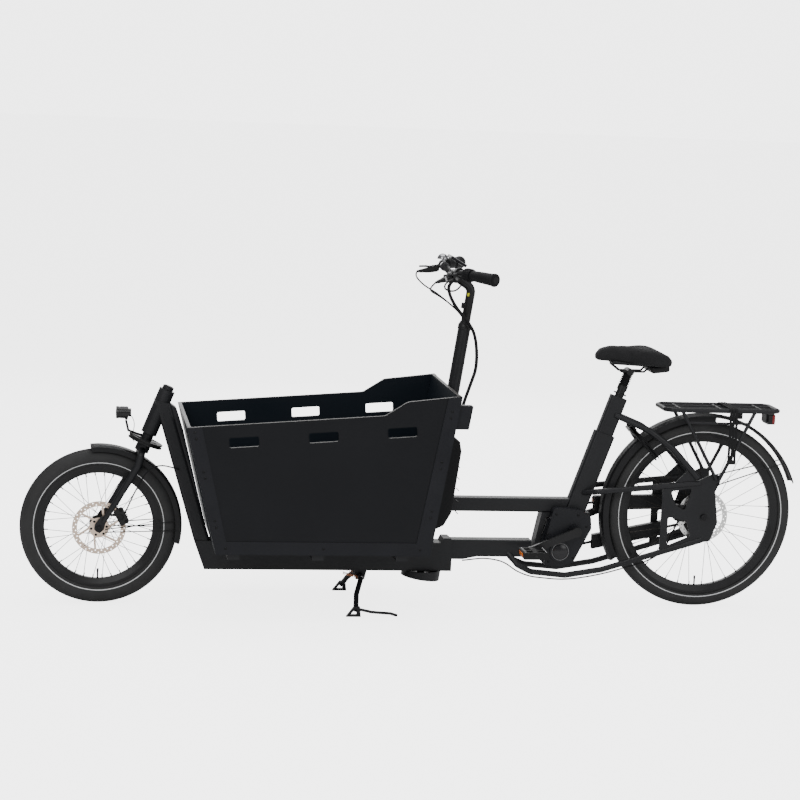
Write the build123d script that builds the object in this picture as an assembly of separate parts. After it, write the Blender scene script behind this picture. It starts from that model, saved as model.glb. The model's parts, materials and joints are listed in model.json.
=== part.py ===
from build123d import *
from math import asin, atan2, cos, hypot, pi, radians, sin, sqrt, tan
import os

# Long two-wheeled cargo bicycle with an electric mid motor and a box between the rider and the front wheel.
# Millimetres. +Z is up, -X is forward, +Y is the rider's right. Z = 0 is the ground.
# X = 0 and Y = 0 are the middle of the overall length and width.

# ---- overall sizes ----
WHEELBASE = 2091.0
HEAD_ANGLE = 21.5  # front steering axis, from vertical
SEAT_ANGLE = 19.0  # seat tube, from vertical
COLUMN_ANGLE = 7.7  # handlebar column, from vertical

# ---- wheels: outer radius, tyre width, bead seat radius, rim inner radius ----
FRONT_TYRE_R = 265.0
FRONT_TYRE_WIDTH = 62.0
FRONT_BEAD_R = 203.0
FRONT_RIM_R = 182.0
REAR_TYRE_R = 329.5
REAR_TYRE_WIDTH = 54.0
REAR_BEAD_R = 279.5
REAR_RIM_R = 256.6
TYRE_WALL = 4.0
RIM_HALF_WIDTH = 16.5
RIM_FLANGE = 6.0
RIM_WALL = 2.2
BEAD_WIDTH = 4.0
SPOKES = 36
SPOKE_R = 1.0
SPOKE_TURN = 58.0  # how far round the hub a spoke leaves from its rim hole
ROTOR_R = 90.0
ROTOR_THICKNESS = 2.0
FRONT_FLANGE_Y = 25.0
REAR_FLANGE_Y = 28.0
FLANGE_R = 31.0
FLANGE_THICKNESS = 3.0
FRONT_ROTOR_Y = 41.0
REAR_ROTOR_Y = 50.0
FRONT_DROPOUT_Y = 50.0
FRONT_PLATE = 7.0
REAR_DROPOUT_Y = 65.0
AXLE_R = 6.0
CALLIPER_REACH = 84.0
FRONT_CALLIPER_ANGLE = 28.0
REAR_CALLIPER_ANGLE = 172.0

# ---- mudguards ----
FRONT_GUARD_R = 281.0
FRONT_GUARD_WIDTH = 68.0
FRONT_GUARD_FROM = -12.0
FRONT_GUARD_TO = 97.0
REAR_GUARD_R = 358.0
REAR_GUARD_WIDTH = 64.0
REAR_GUARD_FROM = 19.5
REAR_GUARD_TO = 208.0
GUARD_WALL = 2.0
GUARD_DEPTH = 9.0

# ---- clearances ----
RUNNING = 0.05  # radial gap of a shaft in its bearing
NEAR = 0.3  # gap between pieces that pass each other
SLIDE = 0.08  # radial gap of a telescoping tube

# ---- datum lines ----
OVERALL = FRONT_TYRE_R + WHEELBASE + REAR_GUARD_R * cos(radians(REAR_GUARD_FROM))
FRONT_X = -OVERALL / 2 + FRONT_TYRE_R
REAR_X = FRONT_X + WHEELBASE
FRONT_AXLE = (FRONT_X, 0, FRONT_TYRE_R)
REAR_AXLE = (REAR_X, 0, REAR_TYRE_R)

# ---- fork and head tube ----
FORK_OFFSET = 32.8
HEAD_LOW_Z = 583.0
HEAD_TOP_Z = 732.0
HEAD_TUBE_R = 27.0
HEAD_BORE_R = 21.0
STEERER_R = 14.3
BEARING_HEIGHT = 12.0
CROWN_LOW_Z = 523.0
CROWN_TOP_Z = 545.0
CROWN_R = 24.0
FORK_LEG_R = 13.0
FORK_LEG_TIP_R = 9.0
FORK_LEG_Y = 52.5
FORK_BEND = (126.0, 479.0)  # where the legs turn towards the axle, from the front axle and the ground
QUADRANT_Z = 557.0
QUADRANT_R = 60.0
QUADRANT_THICKNESS = 14.0
LAMP_PIVOT = (84.0, 634.0)
LAMP_R = 20.0

# ---- front of the frame ----
DOWN_TUBE_TOP = (176.0, 700.0)
DOWN_TUBE_FOOT = (321.0, 222.0)
DOWN_TUBE_DEPTH = 55.0
DOWN_TUBE_HALF_WIDTH = 30.0

# ---- chassis ----
CHASSIS_LOW_Z = 123.0
CHASSIS_TOP_Z = 222.0
CHASSIS_HALF_WIDTH = 35.0
CHASSIS_WALL = 4.0
CHASSIS_REAR = -879.7
CHASSIS_NOSE = 357.7
CROSS_HEIGHT = 20.0
CROSS_WIDTH = 40.0
CROSS_COUNT = 3
FLOOR_Z = 228.0

# ---- box ----
BOX_WIDTH = 570.0
PANEL = 12.0
TRIM = 2.5
TRIM_WIDTH = 44.0
BOX_FRONT_FOOT = 376.7
BOX_FRONT_LEAN = 105.0
BOX_REAR_FOOT = -1001.7
BOX_REAR_LEAN = 87.0
BOX_FOOT_Z = 228.0
BOX_FRONT_Z = 649.0
BOX_SLOPE = 4.43
BOX_REAR_Z = 769.0
BOX_RISE_START = -1167.7
BOX_RISE_END = -1093.7
BOX_RISE_Z = 747.0
RISE_ROUND = 30.0
HAND_HOLES = 3
HAND_HOLE = (98.0, 33.0)
HAND_HOLE_DEPTH = 59.5  # hole centre below the sloping edge
HAND_HOLE_FIRST = 188.0  # first hole behind the top front corner
HAND_HOLE_LAST = 193.0  # last hole ahead of the top rear corner

# ---- steering column ----
COLUMN_GAP = 2.16  # column behind the box's rear wall, at the height of 740
COLUMN_TUBE_R = 25.0
COLUMN_TUBE_BORE_R = 20.0
COLUMN_TUBE_TOP_Z = 600.0
COLUMN_SHAFT_R = 12.5
COLUMN_R = 21.5
WALL_AT_740 = BOX_REAR_FOOT + BOX_REAR_LEAN * (740 - BOX_FOOT_Z) / (BOX_REAR_Z - BOX_FOOT_Z)
COLUMN_AT_740 = WALL_AT_740 + COLUMN_R + COLUMN_GAP
COLUMN_LOW_Z = 616.0
COLUMN_TOP_Z = 976.0
STEM_R = 15.5
STEM_FOOT_Z = 880.0
LOWER_PULLEY_Z = 105.0
LOWER_PULLEY_THICKNESS = 10.0

# ---- handlebar ----
BAR_CENTRE = (-906.7, 1143.0)
BAR_R = 11.1
BAR_CLAMP_R = 15.9
GRIP_R = 16.5
GRIP_START = 58.0
GRIP_LENGTH = 116.0
SHIFTER_R = 21.0
SHIFTER_LENGTH = 32.0
BAR_FLAT = 52.0
BAR_RISE = (-17.0, 23.0, 120.0)
BAR_BEND = (-11.0, 25.5, 184.0)
BAR_END = (78.0, 19.0, 335.0)

# ---- rails and motor ----
UPPER_RAIL = (332.0, 380.0)
LOWER_RAIL = (174.0, 232.0)
RAIL_HALF_WIDTH = 25.0
LOWER_RAIL_END = -599.5
SEAT_FOOT = (-439.7, 361.0)
SEAT_SLEEVE = (72.0, 50.0)
SEAT_SLEEVE_TOP_Z = 609.0
SEAT_TUBE = (58.0, 42.0)
SEAT_TUBE_TOP_Z = 738.0
MOTOR_LEFT_Y = 62.0
MOTOR_RIGHT_Y = 38.0
CRANK = (-454.7, 275.0)
CRANK_AXLE_R = 10.0
CRANK_LENGTH = 172.0
CRANK_REST = 202.0  # direction of the left crank, from +X towards +Z
CRANK_ARM_Y = 83.0
CRANK_ARM_THICKNESS = 13.0
PEDAL_AXLE_R = 5.0
PEDAL_SIZE = (90.0, 92.0, 24.0)
CHAIN_Y = 46.0
CHAIN_PITCH = 12.7
CHAINRING_TEETH = 38
SPROCKET_TEETH = 18
CHAIN_HEIGHT = 8.0
CHAIN_WIDTH = 7.0
TOOTH_PLATE = 2.4
CHAIN_CASE = (24.0, 50.0)
CHAIN_CASE_WALL = 2.0
CHAIN_CASE_X = (-368.0, -118.0)
CHAIN_CASE_TABS = (62.0, 34.0)  # reach of the upper and the lower cover's tab

# ---- seat post and saddle ----
POST_R = 15.0
POST_BORE_R = 11.2
POST_LOW_Z = 560.0
POST_TOP_Z = 778.0
PISTON_R = 11.0
PISTON_LOW_Z = 690.0
HEAD_Z = 822.0
SADDLE_NOSE = (-405.0, 868.0)
SADDLE_LENGTH = 268.0
SADDLE_HALF_WIDTH = 104.0
RAIL_Y = 22.0
RAIL_R = 3.5

# ---- rear stays ----
STAY_Y = 68.0
STAY_R = 10.0
SEAT_STAY_R = 11.0
DROPOUT_THICKNESS = 6.0

# ---- rack, lock and stand ----
RACK_X = (-155.0, 249.0)
RACK_Z = 706.0
RACK_R = 8.0
RACK_HALF_WIDTH = 72.0
STRUT_R = 6.0
LOCK_ANGLE = 131.0  # direction of the lock from the rear axle
LOCK_REACH = 312.0
LOCK_RING_R = 72.0
LOCK_TUBE_R = 9.0
SHACKLE_R = 4.0
SHACKLE_CLEARANCE = 0.6
LOCK_GAP = 55.0  # half angle of the lock's open side
STAND_PIVOT = (895.0, 105.0)
STAND_PIVOT_R = 10.0
STAND_FOOT_Y = 194.0
STAND_LEG_R = 9.0
HOSE_R = 2.5
BUNDLE_R = 6.0

UPRIGHT = (Align.CENTER, Align.CENTER, Align.MIN)


# ---- helpers ----
def front(dx, z, y=0.0):
    """A point given from the front axle's X, the ground and the centre plane."""
    return (FRONT_X + dx, y, z)


def rear(dx, z, y=0.0):
    """A point given from the rear axle's X, the ground and the centre plane."""
    return (REAR_X + dx, y, z)


def rod(start, end, radius, bore=0.0):
    """A round bar between two points, or a tube if it has a bore."""
    run = Vector(*end) - Vector(*start)
    place = Plane(origin=tuple(start), z_dir=run)
    body = Cylinder(radius, run.length, align=UPRIGHT)
    if bore:
        body -= Cylinder(bore, run.length, align=UPRIGHT)
    return place * body


def taper(start, end, start_radius, end_radius):
    """A tapering round bar between two points."""
    run = Vector(*end) - Vector(*start)
    return Plane(origin=start, z_dir=run) * Cone(start_radius, end_radius, run.length, align=UPRIGHT)


def bent_tube(points, radius, bend):
    """A round tube along straight runs joined by tangent arcs."""
    path = FilletPolyline(*points, radius=bend)
    section = Plane(origin=path @ 0, z_dir=path % 0) * Circle(radius)
    return sweep(section, path=path)


def hose(points, radius, name):
    """A bent hose whose arcs are as large as its runs allow."""
    corners = [Vector(*p) for p in points]
    radii = []
    for before, here, after in zip(corners, corners[1:], corners[2:]):
        turn = radians((here - before).get_angle(after - here))
        radii.append(0.45 * min((here - before).length, (after - here).length) / tan(turn / 2))
    path = FilletPolyline(*points, radius=radii)
    section = Plane(origin=path @ 0, z_dir=path % 0) * Circle(radius)
    body = sweep(section, path=path)
    expected = pi * radius**2 * path.length
    print(name, "radii", [round(r) for r in radii], "length", round(path.length), "volume ratio",
          round(body.volume / expected, 4))
    return body


def slab(points, y_low, y_high, corner=0.0):
    """A plate whose outline lies in X and Z, from y_low to y_high."""
    outline = Polygon(*[(x, z) for x, y, z in points], align=None)
    if corner:
        outline = fillet(outline.vertices(), corner)
    sheet = Plane(origin=(0, y_high, 0), x_dir=(1, 0, 0), z_dir=(0, -1, 0)) * outline
    return extrude(sheet, y_high - y_low, dir=(0, -1, 0))


def turned(section, centre, start=0.0, sweep_angle=360.0):
    """A ring about the wheel axis through centre; the section holds radius along X and width along Y."""
    tilt = radians(start)
    place = Plane(origin=centre, x_dir=(cos(tilt), 0, sin(tilt)), z_dir=(-sin(tilt), 0, cos(tilt)))
    return revolve(place * section, axis=Axis(centre, (0, -1, 0)), revolution_arc=sweep_angle)


def disc(centre, y_low, y_high, radius, bore=0.0):
    """A round plate across the bicycle, from y_low to y_high."""
    return rod((centre[0], y_low, centre[2]), (centre[0], y_high, centre[2]), radius, bore)


def block(x_low, x_high, y_low, y_high, z_low, z_high):
    """A plain box between two corners."""
    return Pos(x_low, y_low, z_low) * Box(
        x_high - x_low, y_high - y_low, z_high - z_low, align=(Align.MIN, Align.MIN, Align.MIN)
    )


def both_sides(make):
    """Left and right copies of what make(side) returns, side being -1 or 1."""
    return [make(side) for side in (-1, 1)]


def join(shapes):
    """One solid from pieces that are welded together."""
    body = shapes[0]
    for shape in shapes[1:]:
        body += shape
    return body


def group(*shapes):
    """Separate solids that share one node."""
    return Compound(children=[shape.solids()[0] for shape in shapes])


def one(shape):
    """The single solid in a shape, or the shape as it is."""
    solids = shape.solids()
    return solids[0] if len(solids) == 1 else Compound(children=list(solids))


# ---- axes ----
def head_point(z, y=0.0):
    """The point at height z on the fork's steering axis."""
    slope = tan(radians(HEAD_ANGLE))
    return front(FORK_OFFSET / cos(radians(HEAD_ANGLE)) + (z - FRONT_TYRE_R) * slope, z, y)


def column_point(z, y=0.0):
    """The point at height z on the handlebar column's axis."""
    return rear(COLUMN_AT_740 + (z - 740) * tan(radians(COLUMN_ANGLE)), z, y)


def seat_point(z, y=0.0):
    """The point at height z on the seat tube's axis."""
    return rear(SEAT_FOOT[0] + (z - SEAT_FOOT[1]) * tan(radians(SEAT_ANGLE)), z, y)


def up(angle, length=1.0):
    """A vector leaning rearward from vertical by angle."""
    return Vector(sin(radians(angle)) * length, 0, cos(radians(angle)) * length)


def crank_point(side, reach, y=0.0):
    """A point on the crank arm of one side; the two arms point opposite ways."""
    angle = radians(CRANK_REST + (0 if side < 0 else 180))
    return rear(CRANK[0] + reach * cos(angle), CRANK[1] + reach * sin(angle), y)


# ---- wheels ----
def tyre(centre, outer, width, bead):
    """A tyre casing, open at its bead, whose two feet stand inside the rim's flanges."""
    half = width / 2
    shoulder = bead + RIM_FLANGE + NEAR
    inner = RIM_HALF_WIDTH - RIM_WALL - NEAR
    middle = Pos(outer - half, 0)
    section = middle * Circle(half) - middle * Circle(half - TYRE_WALL)
    section -= Pos(shoulder, 0) * Rectangle(200, 200, align=(Align.MAX, Align.CENTER))
    for side in (-1, 1):
        foot = Pos(bead + NEAR, side * (inner - BEAD_WIDTH / 2))
        section += foot * Rectangle(RIM_FLANGE + 3, BEAD_WIDTH, align=(Align.MIN, Align.CENTER))
        bridge = Pos(shoulder, side * (inner - BEAD_WIDTH / 2 + 2.3))
        section += bridge * Rectangle(3, BEAD_WIDTH + 4.6, align=(Align.MIN, Align.CENTER))
    return turned(section, centre)


def rim(centre, bead, inner):
    """A deep rim with a channel for the tyre's beads."""
    wide = RIM_HALF_WIDTH
    lip = wide - RIM_WALL
    right = [(inner, 9), (bead - 4, wide), (bead + RIM_FLANGE, wide), (bead + RIM_FLANGE, lip), (bead, lip),
             (bead - 2, 8)]
    left = [(r, -y) for r, y in reversed(right)]
    section = Polygon(*right, *left, align=None)
    return turned(section, centre)


def spokes(centre, flange_y, rim_inner, phase):
    """Crossed spokes from both flanges to the rim."""
    wires = []
    for i in range(SPOKES):
        side = 1 if i % 2 else -1
        lead = 1 if (i // 2) % 2 else -1
        rim_angle = radians(phase + 360 * i / SPOKES)
        hub_angle = rim_angle + lead * radians(SPOKE_TURN)
        beside = FLANGE_THICKNESS / 2 + SPOKE_R + 0.8
        hub_r = FLANGE_R - 1.5
        start = (centre[0] + hub_r * cos(hub_angle), side * flange_y + lead * beside,
                 centre[2] + hub_r * sin(hub_angle))
        reach = rim_inner - 0.3
        end = (centre[0] + reach * cos(rim_angle), side * 2.5, centre[2] + reach * sin(rim_angle))
        wires.append(rod(start, end, SPOKE_R))
    return Compound(children=[w.solids()[0] for w in wires])


def hub(centre, flange_y, barrel_r, left_y, right_y, rotor_y):
    """A hub shell with two flanges, a seat for the rotor and a bore for the axle."""
    body = disc(centre, -left_y, right_y, 15)
    body += disc(centre, -flange_y, flange_y, barrel_r)
    for side in (-1, 1):
        body += disc(centre, side * flange_y - FLANGE_THICKNESS / 2, side * flange_y + FLANGE_THICKNESS / 2,
                     FLANGE_R)
    body += disc(centre, -rotor_y + ROTOR_THICKNESS / 2, -flange_y, 22)
    return body - disc(centre, -left_y, right_y, AXLE_R + RUNNING)


def rotor(centre, y):
    """A drilled brake rotor on its spider."""
    low = -y - ROTOR_THICKNESS / 2
    high = -y + ROTOR_THICKNESS / 2
    body = disc(centre, low, high, ROTOR_R, ROTOR_R - 17) + disc(centre, low, high, 34, 15 + NEAR)
    for i in range(6):
        angle = radians(60 * i)
        lean = angle + radians(22)
        start = (centre[0] + 30 * cos(angle), -y, centre[2] + 30 * sin(angle))
        end = (centre[0] + 76 * cos(lean), -y, centre[2] + 76 * sin(lean))
        run = Vector(*end) - Vector(*start)
        arm = Plane(origin=start, x_dir=run, z_dir=(0, 1, 0)) * Pos(0, 0, -ROTOR_THICKNESS / 2) * Box(
            run.length, 7, ROTOR_THICKNESS, align=(Align.MIN, Align.CENTER, Align.MIN))
        body += arm
    holes = []
    for i in range(24):
        for row in (0, 1):
            angle = radians(15 * i + 7.5 * row)
            reach = ROTOR_R - 5 - 7 * row
            hole = (centre[0] + reach * cos(angle), 0, centre[2] + reach * sin(angle))
            holes.append(disc(hole, low - 1, high + 1, 2.2))
    return body - holes


def calliper(centre, reach, angle, y, half_width):
    """A brake calliper that straddles the rotor with a slot."""
    middle = calliper_point(centre, reach, angle, y)
    place = Plane(origin=middle, x_dir=(cos(radians(angle)), 0, sin(radians(angle))), z_dir=(0, -1, 0))
    body = place * Box(34, 58, 2 * half_width)
    body = fillet(body.edges().filter_by(Axis.Y), 8)
    return body - place * Pos(-10, 0, 0) * Box(44, 70, ROTOR_THICKNESS + 2.4)


def calliper_point(centre, reach, angle, y):
    """The middle of a calliper on the left of its wheel."""
    return (centre[0] + reach * cos(radians(angle)), -y, centre[2] + reach * sin(radians(angle)))


def front_calliper():
    """The front calliper with its lug on the fork leg."""
    x, y, z = calliper_point(FRONT_AXLE, CALLIPER_REACH, FRONT_CALLIPER_ANGLE, FRONT_ROTOR_Y)
    lug = rod((x, y - 6, z + 4), fork_leg_point(-1, 0.87), 4)
    body = calliper(FRONT_AXLE, CALLIPER_REACH, FRONT_CALLIPER_ANGLE, FRONT_ROTOR_Y, 8)
    return (body + lug - fork_leg(-1, NEAR)).solids().sort_by(SortBy.VOLUME)[-1]


def rear_calliper():
    """The rear calliper with its boss on the dropout plate."""
    x, y, z = calliper_point(REAR_AXLE, CALLIPER_REACH, REAR_CALLIPER_ANGLE, REAR_ROTOR_Y)
    boss = rod((x, y - 8, z), (x, NEAR - REAR_DROPOUT_Y, z), 7)
    return calliper(REAR_AXLE, CALLIPER_REACH, REAR_CALLIPER_ANGLE, REAR_ROTOR_Y, 10) + boss


def guard(centre, outer, width, start, end):
    """A mudguard: a shallow channel bent round the wheel."""
    half = width / 2
    low = outer - GUARD_DEPTH
    top = [(low, -half), (outer - 2.5, -half * 0.6), (outer, 0), (outer - 2.5, half * 0.6), (low, half)]
    under = [(r - GUARD_WALL, y * (1 - 1.5 / half)) for r, y in reversed(top)]
    section = Polygon(*top, *under, align=None)
    return turned(section, centre, start, end - start)


# ---- steered front ----
def fork_leg_point(side, share):
    """A point on a fork leg's axis, from the knee (0) to the dropout (1)."""
    knee = Vector(*front(FORK_BEND[0], FORK_BEND[1], side * FORK_LEG_Y))
    tip = Vector(*front(14, FRONT_TYRE_R + 22, side * (FRONT_DROPOUT_Y + 5.5)))
    return tuple(knee + (tip - knee) * share)


def fork_leg(side, grow=0.0):
    """The tapering part of a fork leg, grown for the clearance of what sits against it."""
    return taper(fork_leg_point(side, 0), fork_leg_point(side, 1), FORK_LEG_R + grow, FORK_LEG_TIP_R + grow)


def fork():
    """Steerer, crown, two legs, dropouts and the headlamp's stalk."""
    body = rod(head_point(CROWN_LOW_Z), head_point(HEAD_TOP_Z + 14), STEERER_R)
    body += rod(head_point(CROWN_LOW_Z), head_point(CROWN_TOP_Z), CROWN_R)
    body += rod(head_point(HEAD_TOP_Z + 1), head_point(HEAD_TOP_Z + 12), 19)
    body += rod(head_point(CROWN_TOP_Z), head_point(HEAD_LOW_Z - 2), STEERER_R + 5)
    for side in (-1, 1):
        shoulder = front(FORK_BEND[0] + 8, FORK_BEND[1] + 34, side * FORK_LEG_Y)
        knee = fork_leg_point(side, 0)
        body += rod(head_point(CROWN_LOW_Z + 11), shoulder, FORK_LEG_R)
        body += Pos(*shoulder) * Sphere(FORK_LEG_R)
        body += rod(shoulder, knee, FORK_LEG_R)
        body += Pos(*knee) * Sphere(FORK_LEG_R)
        body += fork_leg(side)
        plate = [front(2, FRONT_TYRE_R - 16), front(-16, FRONT_TYRE_R - 4), front(-14, FRONT_TYRE_R + 12),
                 front(8, FRONT_TYRE_R + 42), front(26, FRONT_TYRE_R + 40), front(16, FRONT_TYRE_R - 4)]
        inner = side * FRONT_DROPOUT_Y
        outer = side * (FRONT_DROPOUT_Y + FRONT_PLATE)
        body += slab(plate, min(inner, outer), max(inner, outer))
    body -= rod(front(0, FRONT_TYRE_R, -90), front(0, FRONT_TYRE_R, 90), AXLE_R)
    stalk = [head_point(QUADRANT_Z + QUADRANT_THICKNESS / 2 + 8), front(120, 582), front(92, 592),
             front(LAMP_PIVOT[0], LAMP_PIVOT[1] - 10)]
    for start, end in zip(stalk, stalk[1:]):
        body += rod(start, end, 4)
        body += Pos(*end) * Sphere(4)
    return body


def quadrant():
    """The cable pulley clamped on the steerer between the crown and the head tube."""
    start = Vector(*head_point(QUADRANT_Z)) - up(HEAD_ANGLE, QUADRANT_THICKNESS / 2)
    place = Plane(origin=start, x_dir=(0, 1, 0), z_dir=up(HEAD_ANGLE))
    body = Cylinder(QUADRANT_R, QUADRANT_THICKNESS, align=UPRIGHT)
    groove = Cylinder(QUADRANT_R + 1, 6, align=UPRIGHT) - Cylinder(QUADRANT_R - 4, 6, align=UPRIGHT)
    body -= Pos(0, 0, (QUADRANT_THICKNESS - 6) / 2) * groove
    body -= Cylinder(STEERER_R + 5, QUADRANT_THICKNESS, align=UPRIGHT)
    for i in range(4):
        body -= Rot(0, 0, 45 + 90 * i) * Pos(40, 0, 0) * Cylinder(10, QUADRANT_THICKNESS, align=UPRIGHT)
    return place * body


def front_mudguard():
    """The front mudguard and its two pairs of wire stays."""
    blade = guard(FRONT_AXLE, FRONT_GUARD_R, FRONT_GUARD_WIDTH, FRONT_GUARD_FROM, FRONT_GUARD_TO)
    crown = Vector(*head_point(CROWN_LOW_Z)) - up(HEAD_ANGLE, 5.6)
    blade += rod(head_point(CROWN_LOW_Z - 11.4), crown, 8)
    body = [blade.solids()[0]]
    for side in (-1, 1):
        for drop in (0, 1):
            angle = radians(5 - 7 * drop)
            reach = FRONT_GUARD_R - GUARD_DEPTH - 1
            end = front(reach * cos(angle), FRONT_TYRE_R + reach * sin(angle),
                        side * (FRONT_GUARD_WIDTH / 2 - 1.5))
            out = FRONT_DROPOUT_Y + FRONT_PLATE + 1.8 + NEAR
            start = front(20, FRONT_TYRE_R - 2 - 10 * drop, side * out)
            body.append(rod(start, end, 1.8).solids()[0])
    return Compound(children=body)


def headlamp():
    """A round lamp with a cooling tail, hinged on its stalk."""
    x, _, z = front(LAMP_PIVOT[0], LAMP_PIVOT[1] + 19)
    body = rod((x - 34, 0, z), (x + 6, 0, z), LAMP_R) + rod((x + 6, 0, z), (x + 16, 0, z), LAMP_R - 6)
    lug = front(LAMP_PIVOT[0], LAMP_PIVOT[1])
    body += rod((lug[0], -6, lug[2]), (lug[0], 6, lug[2]), 6 - NEAR)
    body += block(lug[0] - 4, lug[0] + 4, -6, 6, lug[2], lug[2] + 5)
    return body - Pos(*front(LAMP_PIVOT[0], LAMP_PIVOT[1] - 10)) * Sphere(4 + NEAR)


# ---- frame ----
def front_frame():
    """Head tube with the down tube behind it."""
    head = rod(head_point(HEAD_LOW_Z), head_point(HEAD_TOP_Z), HEAD_TUBE_R)
    top_x, top_z = DOWN_TUBE_TOP
    foot_x, foot_z = DOWN_TUBE_FOOT
    outline = [front(top_x, top_z), front(top_x + DOWN_TUBE_DEPTH, top_z - 12),
               front(foot_x + DOWN_TUBE_DEPTH, foot_z), front(foot_x, foot_z)]
    tube = slab(outline, -DOWN_TUBE_HALF_WIDTH, DOWN_TUBE_HALF_WIDTH)
    tube = fillet(tube.edges().filter_by(Axis.Y, reverse=True).filter_by(lambda e: e.length > 200), 12)
    body = head + tube
    low = Vector(*head_point(HEAD_LOW_Z)) - up(HEAD_ANGLE, 60)
    high = Vector(*head_point(HEAD_TOP_Z)) + up(HEAD_ANGLE, 60)
    body -= rod(low, high, HEAD_BORE_R)
    cap = rod(head_point(HEAD_TOP_Z), high, 60)
    return body - cap


def chassis():
    """Long beam under the box, its cross members, the lower pulley's cover and the stand's lugs."""
    nose = CHASSIS_NOSE
    end_x = REAR_X + CHASSIS_REAR
    outline = [front(nose, CHASSIS_LOW_Z), front(DOWN_TUBE_FOOT[0], CHASSIS_TOP_Z),
               (end_x - 40, 0, CHASSIS_TOP_Z),
               (end_x - 32, 0, LOWER_RAIL[1] + 6), (end_x - 8, 0, LOWER_RAIL[1] + 6), (end_x, 0,
                                                                                       LOWER_RAIL[1]),
               (end_x, 0, CHASSIS_LOW_Z)]
    body = slab(outline, -CHASSIS_HALF_WIDTH, CHASSIS_HALF_WIDTH)
    first = FRONT_X + BOX_FRONT_FOOT + 60
    last = REAR_X + BOX_REAR_FOOT - 90
    for i in range(CROSS_COUNT):
        x = first + (last - first) * i / (CROSS_COUNT - 1)
        reach = BOX_WIDTH / 2 - TRIM - PANEL
        body += block(x - CROSS_WIDTH / 2, x + CROSS_WIDTH / 2, -reach, reach, FLOOR_Z - CROSS_HEIGHT,
                      FLOOR_Z)
    pulley = Vector(*column_point(LOWER_PULLEY_Z))
    foot = pulley - up(COLUMN_ANGLE, LOWER_PULLEY_THICKNESS / 2 + 5)
    head = pulley + up(COLUMN_ANGLE, 34)
    cover = rod(foot, head, QUADRANT_R + 7)
    cover -= rod((foot + up(COLUMN_ANGLE, 3)), (head + up(COLUMN_ANGLE, 1)), QUADRANT_R + 4)
    reach = QUADRANT_R + 20
    cover &= block(pulley.X - reach, pulley.X + reach, -reach, reach, 0, CHASSIS_LOW_Z)
    body += cover
    inside = Vector(*column_point(LOWER_PULLEY_Z)) - up(COLUMN_ANGLE, LOWER_PULLEY_THICKNESS / 2 + 2)
    body -= rod(inside, column_point(CHASSIS_TOP_Z + 30), COLUMN_SHAFT_R + 4)
    x, z = STAND_PIVOT[0] + FRONT_X, STAND_PIVOT[1]
    for side in (-1, 1):
        lug = [(x - 22, 0, CHASSIS_LOW_Z), (x - 15, 0, z - 14), (x + 15, 0, z - 14),
               (x + 22, 0, CHASSIS_LOW_Z)]
        edges = (side * 22, side * 32)
        body += slab(lug, min(edges), max(edges))
    return body - disc((x, 0, z), -60, 60, STAND_PIVOT_R + RUNNING)


def steering_tube():
    """The fixed tube that carries the handlebar column behind the box."""
    body = rod(column_point(CHASSIS_TOP_Z - 20), column_point(COLUMN_TUBE_TOP_Z), COLUMN_TUBE_R,
               COLUMN_TUBE_BORE_R)
    foot = column_point(CHASSIS_TOP_Z)
    body -= block(foot[0] - 60, foot[0] + 60, -60, 60, CHASSIS_TOP_Z - 60, CHASSIS_TOP_Z)
    x = column_point(LOWER_RAIL[1] + 6)[0]
    end_x = REAR_X + CHASSIS_REAR
    step = block(end_x - 32, end_x + 40, -60, 60, CHASSIS_TOP_Z - 1, LOWER_RAIL[1] + 6)
    return body - step if x + COLUMN_TUBE_R > end_x - 40 else body


def bearings():
    """Two headset bearings and two column bearings."""
    rings = []
    for place, angle, bottom, top, bore, shaft in (
        (head_point, HEAD_ANGLE, HEAD_LOW_Z, HEAD_TOP_Z, HEAD_BORE_R, STEERER_R),
        (column_point, COLUMN_ANGLE, CHASSIS_TOP_Z + 24, COLUMN_TUBE_TOP_Z, COLUMN_TUBE_BORE_R,
         COLUMN_SHAFT_R),
    ):
        low = Vector(*place(bottom))
        high = Vector(*place(top))
        low_end = low + up(angle, BEARING_HEIGHT)
        high_end = high - up(angle, BEARING_HEIGHT)
        rings.append(rod(low, low_end, bore, shaft + RUNNING))
        rings.append(rod(high_end, high, bore, shaft + RUNNING))
    return Compound(children=[r.solids()[0] for r in rings])


def upper_rail():
    """Upper rail from the steering tube to the seat tube."""
    start = column_point(UPPER_RAIL[0])[0]
    end = seat_point(UPPER_RAIL[1])[0]
    body = block(start, end, -RAIL_HALF_WIDTH, RAIL_HALF_WIDTH, *UPPER_RAIL)
    body = fillet(body.edges().filter_by(Axis.X), 6)
    body -= rod(column_point(200), column_point(500), COLUMN_TUBE_R)
    keep = slab([seat_point(200), seat_point(700), (end + 900, 0, 700), (end + 900, 0, 200)], -99, 99)
    back = SEAT_SLEEVE[0] / 2 / cos(radians(SEAT_ANGLE))
    return (body - Pos(-back, 0, 0) * keep).solids().sort_by(SortBy.VOLUME)[-1]


def lower_rail():
    """Lower rail with a shallow arch under its front end, behind the chassis."""
    start = REAR_X + CHASSIS_REAR
    end = REAR_X + LOWER_RAIL_END
    low, high = LOWER_RAIL
    body = block(start, end, -RAIL_HALF_WIDTH - 3, RAIL_HALF_WIDTH + 3, low - 10, high)
    arch = slab([(start + 40, 0, low - 10), (start + 90, 0, low), (end, 0, low), (end, 0, low - 10)],
                -99, 99)
    body -= arch
    return fillet(body.edges().filter_by(Axis.X).filter_by(lambda e: e.length > 200), 6)


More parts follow.
